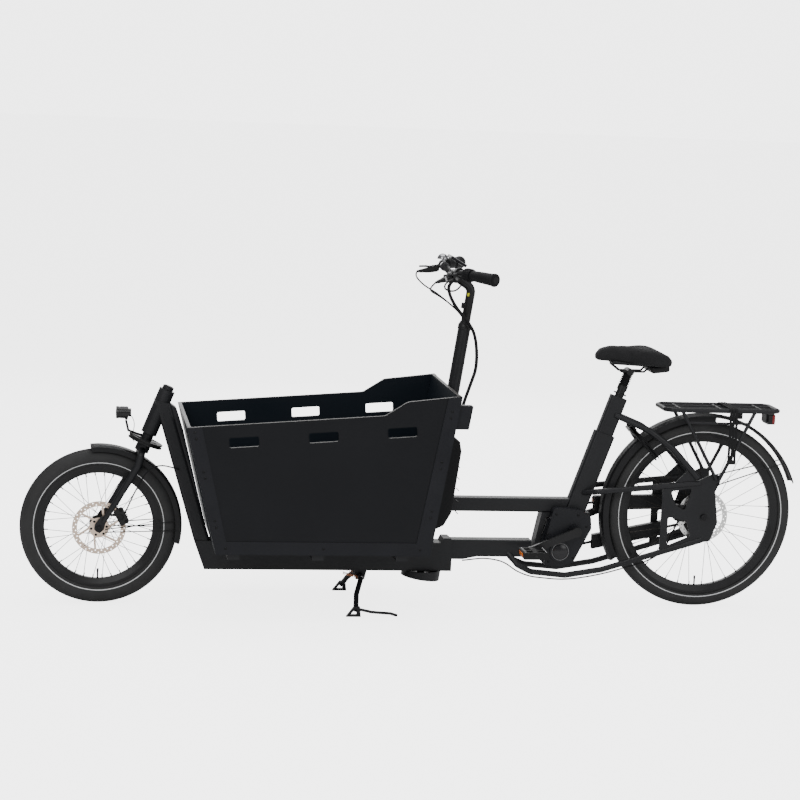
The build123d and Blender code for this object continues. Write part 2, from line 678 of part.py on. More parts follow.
def seat_tube():
    """Wide seat tube sleeve, upper tube, and the bracket that carries the motor."""
    place = Plane(origin=seat_point(330), x_dir=(0, 1, 0), z_dir=up(SEAT_ANGLE))
    stretch = 1 / cos(radians(SEAT_ANGLE))
    sleeve = extrude(place * RectangleRounded(SEAT_SLEEVE[1], SEAT_SLEEVE[0], 12),
                     (SEAT_SLEEVE_TOP_Z - 330) * stretch)
    upper = extrude(place * RectangleRounded(SEAT_TUBE[1], SEAT_TUBE[0], 10),
                    (SEAT_TUBE_TOP_Z - 330) * stretch)
    bracket = [rear(-600, LOWER_RAIL[0] - 4), rear(-568, UPPER_RAIL[0]), rear(-398, UPPER_RAIL[0]),
               rear(-394, UPPER_RAIL[0] - 14), rear(-552, UPPER_RAIL[0] - 14), rear(-582,
                                                                                    LOWER_RAIL[0] - 4)]
    edge = slab(bracket, -RAIL_HALF_WIDTH - 3, RAIL_HALF_WIDTH + 3)
    body = sleeve + upper
    x = seat_point(330)[0]
    body -= block(x - 200, x + 200, -99, 99, 200, UPPER_RAIL[0])
    body += edge
    low = Vector(*seat_point(POST_LOW_Z)) - up(SEAT_ANGLE, 30)
    return body - rod(low, seat_point(SEAT_TUBE_TOP_Z + 30), POST_R + SLIDE)


def rear_frame(side):
    """One side's seat stay, chain stays and lattice dropout plate."""
    half = SEAT_TUBE[1] / 2
    seat_stay = bent_tube([rear(-322, 676, side * (half - 6)), rear(-290, 664, side * 26),
                           rear(-209, 630, side * 58),
                           rear(-124, 569, side * 67), rear(-30, 468, side * STAY_Y)], SEAT_STAY_R, 60)
    upper = bent_tube([rear(-425, 402, side * 18), rear(-378, 414, side * 62),
                       rear(-180, 434, side * STAY_Y),
                       rear(-20, 450, side * STAY_Y)], STAY_R, 25)
    lower = bent_tube([rear(-680, 186, side * 20), rear(-650, 150, side * 48), rear(-606, 130, side * 64),
                       rear(-485, 119, side * STAY_Y), rear(-356, 140, side * STAY_Y), rear(-160, 200,
                                                                                            side * STAY_Y),
                       rear(-4, 248, side * STAY_Y)], STAY_R, 28)
    outline = [rear(-152, 432), rear(-40, 452), rear(22, 482), rear(50, 478), rear(52, 455), rear(36, 420),
               rear(50, 310), rear(26, 245), rear(-4, 240), rear(-150, 196), rear(-154, 214)]
    plate = slab(outline, *sorted((side * REAR_DROPOUT_Y, side * (REAR_DROPOUT_Y + DROPOUT_THICKNESS))))
    windows = ([rear(-122, 420), rear(-45, 432), rear(-70, 352), rear(-104, 372)],
               [rear(-128, 330), rear(-62, 315), rear(-44, 262), rear(-128, 226)])
    for window in windows:
        plate -= slab(window, -99, 99, 8)
    gusset = slab([rear(-60, 500), rear(-120, 440), rear(-30, 448)], *sorted((side * 66, side * 70)))
    body = join([plate, seat_stay, upper, lower, gusset])
    seat_block = Plane(origin=seat_point(330), x_dir=(0, 1, 0), z_dir=up(SEAT_ANGLE))
    solid = extrude(seat_block * RectangleRounded(SEAT_TUBE[1], SEAT_TUBE[0], 10), 460)
    sleeve = extrude(seat_block * RectangleRounded(SEAT_SLEEVE[1], SEAT_SLEEVE[0], 12),
                     (SEAT_SLEEVE_TOP_Z - 330) / cos(radians(SEAT_ANGLE)))
    rail = block(REAR_X - 800, REAR_X + LOWER_RAIL_END, -RAIL_HALF_WIDTH - 3, RAIL_HALF_WIDTH + 3,
                 *LOWER_RAIL)
    body -= solid
    body -= sleeve
    body -= rail
    body -= disc(REAR_AXLE, -99, 99, AXLE_R)
    return body.solids().sort_by(SortBy.VOLUME)[-1]


# ---- box ----
def box_edge():
    """The side panel's outline: sloping top edge with a raised rear corner."""
    slope = tan(radians(BOX_SLOPE))
    top_x = FRONT_X + BOX_FRONT_FOOT - BOX_FRONT_LEAN
    start_x = REAR_X + BOX_RISE_START
    end_x = REAR_X + BOX_RISE_END
    rear_top = REAR_X + BOX_REAR_FOOT + BOX_REAR_LEAN
    return [(FRONT_X + BOX_FRONT_FOOT, 0, BOX_FOOT_Z), (top_x, 0, BOX_FRONT_Z),
            (start_x, 0, BOX_FRONT_Z + (start_x - top_x) * slope), (end_x, 0, BOX_RISE_Z),
            (rear_top, 0, BOX_REAR_Z), (REAR_X + BOX_REAR_FOOT, 0, BOX_FOOT_Z)]


def side_panel(side):
    """One side of the box, with its hand holes."""
    outer = BOX_WIDTH / 2 - TRIM
    outline = Polygon(*[(x, z) for x, y, z in box_edge()], align=None)
    bends = [v for v in outline.vertices() if BOX_FRONT_Z + 1 < v.Y < BOX_REAR_Z - 1]
    outline = fillet(bends, RISE_ROUND)
    edges = sorted((side * outer, side * (outer - PANEL)))
    sheet = Plane(origin=(0, edges[1], 0), x_dir=(1, 0, 0), z_dir=(0, -1, 0)) * outline
    body = extrude(sheet, PANEL, dir=(0, -1, 0))
    for x, z in hand_holes():
        cutter = Plane(origin=(x, 0, z), x_dir=(cos(radians(BOX_SLOPE)), 0, sin(radians(BOX_SLOPE))),
                       z_dir=(0, -1, 0))
        body -= extrude(cutter * RectangleRounded(*HAND_HOLE, 6), BOX_WIDTH, both=True)
    return body


def hand_holes():
    """Centres of the hand holes, evenly spaced below the sloping edge."""
    slope = tan(radians(BOX_SLOPE))
    top_x = FRONT_X + BOX_FRONT_FOOT - BOX_FRONT_LEAN
    first = top_x + HAND_HOLE_FIRST
    last = REAR_X + BOX_REAR_FOOT + BOX_REAR_LEAN - HAND_HOLE_LAST
    places = []
    for i in range(HAND_HOLES):
        x = first + (last - first) * i / (HAND_HOLES - 1)
        places.append((x, BOX_FRONT_Z + (x - top_x) * slope - HAND_HOLE_DEPTH))
    return places


def end_panel(foot_x, lean, top_z, direction):
    """A leaning end wall between the side panels; direction points into the box."""
    reach = BOX_WIDTH / 2 - TRIM - PANEL
    top_x = foot_x + lean
    outline = [(foot_x, 0, BOX_FOOT_Z), (foot_x + direction * PANEL, 0, BOX_FOOT_Z),
               (top_x + direction * PANEL, 0, top_z), (top_x, 0, top_z)]
    return slab(outline, -reach, reach)


def end_panels():
    """The front and the rear wall."""
    front_wall = end_panel(FRONT_X + BOX_FRONT_FOOT, -BOX_FRONT_LEAN, BOX_FRONT_Z, 1)
    rear_wall = end_panel(REAR_X + BOX_REAR_FOOT, BOX_REAR_LEAN, BOX_REAR_Z, -1)
    return front_wall, rear_wall


def floor():
    """The floor panel between the walls."""
    reach = BOX_WIDTH / 2 - TRIM - PANEL
    lean_front = BOX_FRONT_LEAN / (BOX_FRONT_Z - BOX_FOOT_Z)
    lean_rear = BOX_REAR_LEAN / (BOX_REAR_Z - BOX_FOOT_Z)
    start = FRONT_X + BOX_FRONT_FOOT + PANEL
    end = REAR_X + BOX_REAR_FOOT - PANEL
    return slab([(start, 0, FLOOR_Z), (end, 0, FLOOR_Z), (end + PANEL * lean_rear, 0, FLOOR_Z + PANEL),
                 (start - PANEL * lean_front, 0, FLOOR_Z + PANEL)], -reach, reach)


def trims():
    """Sheet metal edging outside each side panel, with a corner post and cable duct behind the box."""
    pieces = []
    foot_front = FRONT_X + BOX_FRONT_FOOT
    foot_rear = REAR_X + BOX_REAR_FOOT
    rear_top = foot_rear + BOX_REAR_LEAN
    slope = tan(radians(BOX_SLOPE))
    front_top = foot_front - BOX_FRONT_LEAN
    for side in (-1, 1):
        edges = sorted((side * (BOX_WIDTH / 2 - TRIM), side * BOX_WIDTH / 2))
        inner_x = front_top + TRIM_WIDTH * 1.1
        outline = [(foot_front, 0, BOX_FOOT_Z), (front_top, 0, BOX_FRONT_Z),
                   (inner_x, 0, BOX_FRONT_Z + (inner_x - front_top) * slope),
                   (foot_front + TRIM_WIDTH * 0.75, 0, BOX_FOOT_Z + TRIM_WIDTH),
                   (foot_rear - TRIM_WIDTH, 0, BOX_FOOT_Z + TRIM_WIDTH),
                   (rear_top - TRIM_WIDTH, 0, BOX_REAR_Z - TRIM_WIDTH * 0.13), (rear_top, 0, BOX_REAR_Z),
                   (foot_rear, 0, BOX_FOOT_Z)]
        body = slab(outline, *edges)
        wrap = [(foot_rear, 0, BOX_FOOT_Z), (rear_top, 0, BOX_REAR_Z), (rear_top + 3, 0, BOX_REAR_Z - 1),
                (foot_rear + 3, 0, BOX_FOOT_Z)]
        lip = sorted((side * (BOX_WIDTH / 2 - 40), side * BOX_WIDTH / 2))
        body += slab(wrap, *lip)
        pieces.append(body.solids()[0])
    z_low, z_high = BOX_REAR_Z - 112, BOX_REAR_Z - 32
    lean = BOX_REAR_LEAN / (BOX_REAR_Z - BOX_FOOT_Z)
    duct = [(foot_rear + (z - BOX_FOOT_Z) * lean + dx, 0, z) for z, dx in
            ((z_low, 3), (z_high, 3), (z_high, 48), (z_low, 48))]
    pieces.append(slab(duct, -BOX_WIDTH / 2 + 10, -BOX_WIDTH / 2 + 38, 4).solids()[0])
    return Compound(children=pieces)


def battery():
    """The battery case behind the box, beside the steering tube."""
    lean = BOX_REAR_LEAN / (BOX_REAR_Z - BOX_FOOT_Z)
    places = ((288, 40), (300, 62), (344, 80), (557, 72), (590, 60), (607, 34), (607, NEAR), (288, NEAR))
    outline = [(REAR_X + BOX_REAR_FOOT + (z - BOX_FOOT_Z) * lean + dx, 0, z) for z, dx in places]
    body = slab(outline, -COLUMN_TUBE_R - 98, -COLUMN_TUBE_R - 6)
    return fillet(body.edges().filter_by(Axis.Y, reverse=True).filter_by(lambda e: e.length > 15), 6)


# ---- drive ----
def motor():
    """Motor housing under the bracket with a taller cover on the left, bored for the crank axle."""
    low = [rear(-556, 150), rear(-574, 200), rear(-546, 314), rear(-404, 314), rear(-397, 283),
           rear(-456, 163),
           rear(-498, 148)]
    core = slab(low, -30, MOTOR_RIGHT_Y, 10)
    high = [rear(-557, 152), rear(-560, 235), rear(-534, 348), rear(-520, 354), rear(-436, 348),
            rear(-400, 322),
            rear(-397, 283), rear(-456, 163), rear(-498, 148)]
    cover = slab(high, -MOTOR_LEFT_Y, -30, 9)
    body = core + cover
    dial = rear(-504.7, 201)
    body += disc(dial, -MOTOR_LEFT_Y - 4, -MOTOR_LEFT_Y, 37)
    body += disc(rear(CRANK[0], CRANK[1]), -MOTOR_LEFT_Y - 8, -MOTOR_LEFT_Y, 22)
    return body - disc(rear(CRANK[0], CRANK[1]), -99, 99, CRANK_AXLE_R + RUNNING)


def ring_radius(teeth):
    """Pitch radius of a chain wheel."""
    return CHAIN_PITCH / (2 * sin(pi / teeth))


def chain_wheel(centre, teeth, bore):
    """A toothed wheel for the chain."""
    radius = ring_radius(teeth)
    body = disc(centre, CHAIN_Y - TOOTH_PLATE / 2, CHAIN_Y + TOOTH_PLATE / 2, radius - 2, bore)
    return body


def crank():
    """Crank axle, both arms, the pedal spindles and the chainring."""
    centre = rear(CRANK[0], CRANK[1])
    end_y = CRANK_ARM_Y + CRANK_ARM_THICKNESS
    body = disc(centre, -end_y, end_y, CRANK_AXLE_R)
    body += chain_wheel(centre, CHAINRING_TEETH, 0)
    for side in (-1, 1):
        inner, outer = sorted((side * CRANK_ARM_Y, side * end_y))
        tip = crank_point(side, CRANK_LENGTH)
        run = Vector(*tip) - Vector(*centre)
        place = Plane(origin=(centre[0], inner, centre[2]), x_dir=run, z_dir=(0, 1, 0))
        arm = Polygon((0, 15), (CRANK_LENGTH, 11), (CRANK_LENGTH, -11), (0, -15), align=None)
        body += extrude(place * arm, CRANK_ARM_THICKNESS, dir=(0, 1, 0))
        body += disc(centre, inner, outer, 17) + disc(tip, inner, outer, 13)
        far = side * (end_y + PEDAL_SIZE[1] + 3)
        body += disc(tip, *sorted((side * (end_y - 1), far)), PEDAL_AXLE_R)
    return body


def pedal(side):
    """A platform pedal on its spindle, with end blocks for the reflectors."""
    tip = crank_point(side, CRANK_LENGTH)
    long, wide, thick = PEDAL_SIZE
    start = CRANK_ARM_Y + CRANK_ARM_THICKNESS + 2
    low, high = sorted((side * start, side * (start + wide)))
    body = block(tip[0] - long / 2, tip[0] + long / 2, low, high, tip[2] - thick / 2, tip[2] + thick / 2)
    body = fillet(body.edges().filter_by(Axis.Y), 5)
    for end in (-1, 1):
        for half in (0, 1):
            y = low + wide * (0.28 + 0.44 * half)
            x = tip[0] + end * long * 0.24
            body -= block(x - 12, x + 12, y - 14, y + 14, tip[2] - thick, tip[2] + thick)
    return body - disc(tip, low - 1, high + 1, PEDAL_AXLE_R + RUNNING)


def chain():
    """The chain as a closed band round the chainring and the sprocket."""
    plates = []
    for inset in (CHAIN_HEIGHT, 0):
        wheels = [(REAR_X + CRANK[0], CRANK[1], CHAINRING_TEETH), (REAR_X, REAR_TYRE_R, SPROCKET_TEETH)]
        circles = [Pos(x, z) * Circle(ring_radius(teeth) + NEAR - 2 + inset) for x, z, teeth in wheels]
        plates.append(make_hull([edge for circle in circles for edge in circle.edges()]))
    band = plates[0] - plates[1]
    sheet = Plane(origin=(0, CHAIN_Y + CHAIN_WIDTH / 2, 0), x_dir=(1, 0, 0), z_dir=(0, -1, 0)) * band
    return extrude(sheet, CHAIN_WIDTH, dir=(0, -1, 0))


def chain_run(x, turn):
    """The height of the chain's upper or lower run at x."""
    big, small = ring_radius(CHAINRING_TEETH), ring_radius(SPROCKET_TEETH)
    share = (x - REAR_X - CRANK[0]) / -CRANK[0]
    return CRANK[1] + (REAR_TYRE_R - CRANK[1]) * share + turn * (big + (small - big) * share)


def chain_case():
    """Two open-ended covers, one round each run of the chain, with tabs to the stays."""
    wide, tall = CHAIN_CASE
    covers = []
    for turn in (1, -1):
        x0, x1 = REAR_X + CHAIN_CASE_X[0], REAR_X + CHAIN_CASE_X[1]
        z0, z1 = chain_run(x0, turn), chain_run(x1, turn)
        shells = []
        for inset in (0, CHAIN_CASE_WALL):
            half = tall / 2 - inset
            extra = inset
            outline = [(x0 - extra, 0, z0 - half), (x1 + extra, 0, z1 - half), (x1 + extra, 0, z1 + half),
                       (x0 - extra, 0, z0 + half)]
            shells.append(slab(outline, CHAIN_Y - wide / 2 + inset, CHAIN_Y + wide / 2 - inset))
        body = shells[0] - shells[1]
        tab_x = x1 - 22
        tab_y = CHAIN_Y + wide / 2
        z = chain_run(tab_x, turn)
        reach = CHAIN_CASE_TABS[0] if turn > 0 else CHAIN_CASE_TABS[1]
        low, high = sorted((z + turn * (tall / 2 - 2), z + turn * (tall / 2 + reach)))
        body += block(tab_x - 9, tab_x + 9, tab_y - 3, tab_y - NEAR, low, high)
        covers.append(body.solids()[0])
    return Compound(children=covers)


# ---- rear equipment ----
def rear_mudguard():
    """The rear mudguard, its wire stays and the bridge at its front foot."""
    pieces = [guard(REAR_AXLE, REAR_GUARD_R, REAR_GUARD_WIDTH, REAR_GUARD_FROM, REAR_GUARD_TO).solids()[0]]
    reach = REAR_GUARD_R - GUARD_DEPTH - 1.5
    angle = radians(33)
    for side in (-1, 1):
        end = rear(reach * cos(angle), REAR_TYRE_R + reach * sin(angle), side * (REAR_GUARD_WIDTH / 2 - 1))
        start = rear(40, 445, side * (REAR_DROPOUT_Y + DROPOUT_THICKNESS + 5.2))
        pieces.append(rod(start, end, 2.2).solids()[0])
    return Compound(children=pieces)


def rack():
    """Tubular rack: platform loop, cross bars, two struts a side and the lower bag rails."""
    x0, x1 = REAR_X + RACK_X[0], REAR_X + RACK_X[1]
    wide = RACK_HALF_WIDTH
    corners = [(x0 + 20, -wide, RACK_Z), (x1 - 20, -wide, RACK_Z), (x1, -wide + 20, RACK_Z),
               (x1, wide - 20, RACK_Z), (x1 - 20, wide, RACK_Z), (x0 + 20, wide, RACK_Z),
               (x0, wide - 20, RACK_Z), (x0, -wide + 20, RACK_Z)]
    parts = []
    for start, end in zip(corners, corners[1:] + corners[:1]):
        parts.append(rod(start, end, RACK_R))
        parts.append(Pos(*start) * Sphere(RACK_R))
    for share in (0.14, 0.5, 0.86):
        x = x0 + (x1 - x0) * share
        parts.append(rod((x, -wide, RACK_Z), (x, wide, RACK_Z), 5))
    for y in (-26, 26):
        parts.append(rod((x0, y, RACK_Z), (x1, y, RACK_Z), 5))
    for side in (-1, 1):
        foot_y = side * (REAR_DROPOUT_Y + DROPOUT_THICKNESS + STRUT_R + 2 * NEAR)
        for top_dx, foot_dx in ((-100, 34), (163, 46)):
            foot = rear(foot_dx, 466, foot_y)
            parts.append(rod(rear(top_dx, RACK_Z, side * wide), foot, STRUT_R))
            parts.append(Pos(*foot) * Sphere(STRUT_R))
        rail = [rear(-72, 662, side * (wide + 2)), rear(146, 662, side * (wide + 2))]
        parts.append(rod(*rail, 4))
    foot = rear(120, RACK_Z)
    seat_z = REAR_TYRE_R + sqrt(REAR_GUARD_R**2 - (foot[0] - 12 - REAR_X) ** 2) + NEAR
    parts.append(block(foot[0] - 12, foot[0] + 12, -26, 26, seat_z, RACK_Z))
    lamp_x = x1 - 26
    parts.append(block(lamp_x - 6, lamp_x, -26, 26, 660, RACK_Z))
    return join(parts)


def tail_lamp():
    """Rear lamp and reflector on the rack's tab."""
    x = REAR_X + RACK_X[1] - 26
    body = block(x, x + 24, -36, 36, 654, 690)
    return fillet(body.edges().filter_by(Axis.X), 8)


def strap():
    """Wide elastic luggage strap across the rack and down to its lower hook."""
    x = REAR_X + 66
    wide = RACK_HALF_WIDTH + RACK_R + 4
    top = RACK_Z + RACK_R + 0.4
    outline = Polygon((-wide - 4, 520), (-wide - 4, top + 3), (wide, top + 3), (wide, top), (-wide, top),
                      (-wide, 520), align=None)
    sheet = Plane(origin=(x, 0, 0), x_dir=(0, 1, 0), z_dir=(1, 0, 0)) * outline
    return extrude(sheet, 32, dir=(1, 0, 0))


def lock_frame():
    """The lock's own plane: X points at the rear axle, Y across the bicycle."""
    angle = radians(LOCK_ANGLE)
    centre = rear(LOCK_REACH * cos(angle), REAR_TYRE_R + LOCK_REACH * sin(angle))
    return Plane(origin=centre, x_dir=(-cos(angle), 0, -sin(angle)), z_dir=(-sin(angle), 0, cos(angle)))


def ring_arc(radius, tube, start, end):
    """Part of a torus in the lock's plane, angles from its open side."""
    section = Plane(origin=(0, 0, 0), x_dir=(1, 0, 0), z_dir=(0, -1, 0)) * Pos(radius, 0) * Circle(tube)
    arc = revolve(section, axis=Axis.Z, revolution_arc=end - start)
    return lock_frame() * Rot(0, 0, start) * arc


def ring_lock():
    """Horseshoe lock body round the tyre, hollow for its shackle, with a slot for the knob."""
    body = ring_arc(LOCK_RING_R, LOCK_TUBE_R, LOCK_GAP, 360 - LOCK_GAP)
    body -= ring_arc(LOCK_RING_R, SHACKLE_R + SHACKLE_CLEARANCE, LOCK_GAP - 2, 362 - LOCK_GAP)
    slot = ring_arc(LOCK_RING_R + 15, 15, LOCK_GAP, 200)
    case = lock_frame() * Pos(-LOCK_RING_R - 12, 0, 0) * Box(20, 60, 21)
    case -= ring_arc(LOCK_RING_R, LOCK_TUBE_R - 1, LOCK_GAP, 360 - LOCK_GAP)
    slot &= lock_frame() * Box(400, 400, 7)
    return (body + case - slot).solids().sort_by(SortBy.VOLUME)[-1]


def shackle():
    """The lock's sliding hoop with its knob."""
    body = ring_arc(LOCK_RING_R, SHACKLE_R, LOCK_GAP + 4, 190)
    turn = radians(185)
    start = lock_frame().from_local_coords(Vector(LOCK_RING_R * cos(turn), LOCK_RING_R * sin(turn), 0))
    end = lock_frame().from_local_coords(Vector((LOCK_RING_R + 34) * cos(turn),
                                                (LOCK_RING_R + 34) * sin(turn), 0))
    return body + rod(start, end, 2.5)


# ---- steering column and handlebar ----
def column():
    """Shaft with its lower pulley, and the wide tube that shows above the box."""
    low = Vector(*column_point(LOWER_PULLEY_Z)) - up(COLUMN_ANGLE, LOWER_PULLEY_THICKNESS / 2)
    body = rod(low, column_point(COLUMN_LOW_Z + 5), COLUMN_SHAFT_R)
    body += rod(low, low + up(COLUMN_ANGLE, LOWER_PULLEY_THICKNESS), QUADRANT_R)
    body += rod(column_point(COLUMN_LOW_Z), column_point(COLUMN_TOP_Z), COLUMN_R)
    return body - rod(column_point(STEM_FOOT_Z - 110), column_point(COLUMN_TOP_Z + 10), STEM_R + SLIDE)


def stem():
    """Stem tube that telescopes in the column and bends forward to the bar clamp."""
    clamp = rear(*BAR_CENTRE)
    turn = column_point(1104)
    body = bent_tube([column_point(STEM_FOOT_Z), turn, (clamp[0] + 10, 0, clamp[2] - 6)], STEM_R, 30)
    body += disc(clamp, -26, 26, BAR_CLAMP_R + 6)
    return body - disc(clamp, -30, 30, BAR_CLAMP_R)


def bar_point(offset, side=1):
    """A point of the handlebar from its clamp centre."""
    clamp = rear(*BAR_CENTRE)
    return (clamp[0] + offset[0], side * offset[2], clamp[2] + offset[1])


def grip_direction(side):
    """Unit vector along a grip, outward."""
    return (Vector(*bar_point(BAR_END, side)) - Vector(*bar_point(BAR_BEND, side))).normalized()


def grip_point(side, along):
    """A point along a grip's axis, from the bar's last bend."""
    return (Vector(*bar_point(BAR_BEND, side)) + grip_direction(side) * along)


def bar_tube():
    """The bent bar on its own."""
    right = [bar_point((0, 0, BAR_FLAT)), bar_point(BAR_RISE), bar_point(BAR_BEND), bar_point(BAR_END)]
    left = [(x, -y, z) for x, y, z in reversed(right)]
    return bent_tube(left + right, BAR_R, 38)


def handlebar():
    """The bent bar with its thick middle and the brake lever clamps."""
    body = bar_tube()
    body += disc(rear(*BAR_CENTRE), -34, 34, BAR_CLAMP_R)
    for side in (-1, 1):
        ring = bar_point((BAR_BEND[0] - 2, BAR_BEND[1] - 0.5, BAR_BEND[2] - 34), side)
        ring_end = bar_point((BAR_BEND[0] - 1, BAR_BEND[1], BAR_BEND[2] - 16), side)
        body += rod(ring, ring_end, BAR_R + 6)
        pivot = lever_pivot(side)
        body += rod(ring_end, (pivot[0] + 8, pivot[1], pivot[2]), 8)
        body += rod((pivot[0] + 2, pivot[1] + side * -34, pivot[2] + 3),
                    (pivot[0] + 4, pivot[1], pivot[2]), 9)
        body -= rod((pivot[0], pivot[1], pivot[2] - 30), (pivot[0], pivot[1], pivot[2] + 30), 10)
        for level in (-7, 4.3):
            fork_arm = rod((pivot[0], pivot[1], pivot[2] + level),
                           (pivot[0], pivot[1], pivot[2] + level + 3), 8)
            fork_arm += block(pivot[0], pivot[0] + 14, pivot[1] - 7, pivot[1] + 7, pivot[2] + level,
                              pivot[2] + level + 3)
            body += fork_arm
        body += rod((pivot[0], pivot[1], pivot[2] - 7), (pivot[0], pivot[1], pivot[2] + 7), 2.5)
    return body


def lever_pivot(side):
    """Where a brake lever is pinned."""
    return bar_point((BAR_BEND[0] - 34, BAR_BEND[1] - 12, BAR_BEND[2] - 14), side)


def brake_lever(side):
    """A brake lever blade with its pin hole."""
    x, y, z = lever_pivot(side)
    body = rod((x, y, z - 3.7), (x, y, z + 3.7), 7)
    points = [(x, y, z), (x - 22, y + side * 34, z), (x - 30, y + side * 116, z - 8)]
    for start, end in zip(points, points[1:]):
        body += rod(start, end, 3.6)
        body += Pos(*end) * Sphere(3.6)
    return body - rod((x, y, z - 20), (x, y, z + 20), 2.5 + RUNNING)


def grips():
    """Two rubber grips."""
    pieces = []
    for side in (-1, 1):
        start = GRIP_START if side < 0 else GRIP_START - 30
        pieces.append(rod(grip_point(side, start), grip_point(side, GRIP_START + GRIP_LENGTH), GRIP_R,
                          BAR_R).solids()[0])
    return Compound(children=pieces)


def shifter():
    """The twist shifter beside the left grip."""
    start = GRIP_START - SHIFTER_LENGTH - 1
    return rod(grip_point(-1, start), grip_point(-1, GRIP_START - 1), SHIFTER_R, BAR_R + RUNNING)


def display():
    """The display on its arm above the bar clamp."""
    x, _, z = rear(*BAR_CENTRE)
    arm = rod((x - 2, -40, z + BAR_R - 1), (x - 2, -40, z + 52), 5)
    ring = rod((x, -44.5, z), (x, -34.5, z), BAR_R + 5, BAR_R)
    place = Plane(origin=(x - 1, -40, z + 56), x_dir=(cos(radians(30)), 0, -sin(radians(30))),
                  z_dir=(sin(radians(30)), 0, cos(radians(30))))
    case = place * Box(62, 78, 11)
    case = fillet(case.edges().filter_by(GeomType.LINE), 3)
    return arm - rod((x, -60, z), (x, -20, z), BAR_R) + ring + case


def bell():
    """A domed bell on a clamp round the bar."""
    x, y, z = bar_point((-16.5, 22, 112))
    base = rod((x, y - 6, z), (x, y + 6, z), BAR_R + 5)
    post = rod((x, y, z + BAR_R), (x - 6, y, z + 26), 5)
    dome = Pos(x - 8, y, z + 26) * (Sphere(19) & Pos(0, 0, 20) * Box(60, 60, 40))
    body = base + post + dome
    return body - bar_tube()


# ---- seat ----
def seatpost():
    """The outer tube of the suspension seat post, with its collar."""
    body = rod(seat_point(POST_LOW_Z), seat_point(POST_TOP_Z), POST_R)
    body += rod(seat_point(POST_TOP_Z - 16), seat_point(POST_TOP_Z), POST_R + 2.5)
    return body - rod(seat_point(PISTON_LOW_Z - 60), seat_point(POST_TOP_Z + 5), POST_BORE_R)


def post_head():
    """The sprung piston, the saddle clamp and the saddle rails."""
    body = rod(seat_point(PISTON_LOW_Z), seat_point(HEAD_Z), POST_BORE_R - SLIDE)
    x, _, z = seat_point(HEAD_Z)
    body += disc((x + 2, 0, z + 6), -RAIL_Y - 6, RAIL_Y + 6, 12)
    for side in (-1, 1):
        points = [(x - 62, side * 12, z + 32), (x - 30, side * RAIL_Y, z + 8),
                  (x + 50, side * RAIL_Y, z + 8),
                  (x + 74, side * 30, z + 32)]
        for start, end in zip(points, points[1:]):
            body += rod(start, end, RAIL_R)
            body += Pos(*start) * Sphere(RAIL_R)
    return body


def saddle():
    """The saddle's outer shape: side view crossed with plan view."""
    x, _, z = rear(*SADDLE_NOSE)
    side_view = [(x + 3, 0, z - 2), (x, 0, z + 18), (x + 18, 0, z + 38), (x + 54, 0, z + 48),
                 (x + 120, 0, z + 42),
                 (x + 190, 0, z + 42), (x + 240, 0, z + 30), (x + SADDLE_LENGTH, 0, z + 6),
                 (x + SADDLE_LENGTH - 8, 0, z - 20), (x + 190, 0, z - 14), (x + 60, 0, z - 4)]
    body = slab(side_view, -150, 150, 4)
    wide = SADDLE_HALF_WIDTH
    half = [(0, 14), (4, 22), (70, 28), (120, 42), (165, 82), (205, wide), (245, wide - 6), (268, 60)]
    right = [(x + dx, y) for dx, y in half]
    left = [(px, -py) for px, py in reversed(right)]
    plan = Polygon(*right, *left, align=None)
    return body & Pos(0, 0, z - 60) * extrude(plan, 160, dir=(0, 0, 1))


# ---- stand ----
def stand():
    """Two-leg centre stand with looped feet and a foot lever."""
    x, z = FRONT_X + STAND_PIVOT[0], STAND_PIVOT[1]
    body = disc((x, 0, z), -66, 66, STAND_PIVOT_R)
    for side in (-1, 1):
        knee = (x - 24, side * 128, 62)
        ankle = (x - 33, side * STAND_FOOT_Y, 22)
        body += rod((x, side * 60, z), knee, STAND_LEG_R)
        body += Pos(*knee) * Sphere(STAND_LEG_R)
        body += rod(knee, ankle, STAND_LEG_R)
        body += Pos(x, side * 60, z) * Sphere(STAND_LEG_R + 2)
        foot = [(x - 66, 0, 0), (x - 40, 0, 34), (x - 20, 0, 34), (x - 16, 0, 0)]
        loop = slab(foot, *sorted((side * (STAND_FOOT_Y - 7), side * (STAND_FOOT_Y + 9))))
        hole = [(x - 53, 0, 7), (x - 38, 0, 25), (x - 30, 0, 25), (x - 30, 0, 7)]
        body += loop - slab(hole, -300, 300)
    lever = [(x - 28, -STAND_FOOT_Y, 26), (x + 20, -STAND_FOOT_Y - 8, 17), (x + 84, -STAND_FOOT_Y - 10, 13),
             (x + 104, -STAND_FOOT_Y - 10, 7)]
    for start, end in zip(lever, lever[1:]):
        body += rod(start, end, 5)
        body += Pos(*end) * Sphere(5)
    return body


# ---- cables ----
def frame_cables():
    """The rear brake hose, clipped under the left lower stay up to the calliper."""
    below = STAY_R + HOSE_R + 5
    route = [rear(-840, 158, -20), rear(-760, 168, -20), rear(-694, 156, -22), rear(-650, 126, -46),
             rear(-606, 130 - below, -64), rear(-485, 119 - below, -STAY_Y), rear(-356, 140 - below,
                                                                                  -STAY_Y),
             rear(-205, 184 - below, -STAY_Y + 3), rear(-170, 179, -53), rear(-136, 200,
                                                                              -49), rear(-112, 248, -52),
             rear(-96, 290, -54), rear(-88, 312, -55)]
    return hose(route, HOSE_R, "rear_brake_hose")


def fork_cables():
    """The front brake hose from the down tube over to the fork leg and its calliper."""
    route = [front(264, 466, -33), front(236, 476, -44), front(204, 484, -56), front(172, 478, -66),
             front(148, 456, -70), front(132, 424, -68), front(112, 384, -64), front(97, 346, -57),
             front(85, 316, -52)]
    return hose(route, HOSE_R, "front_brake_hose")


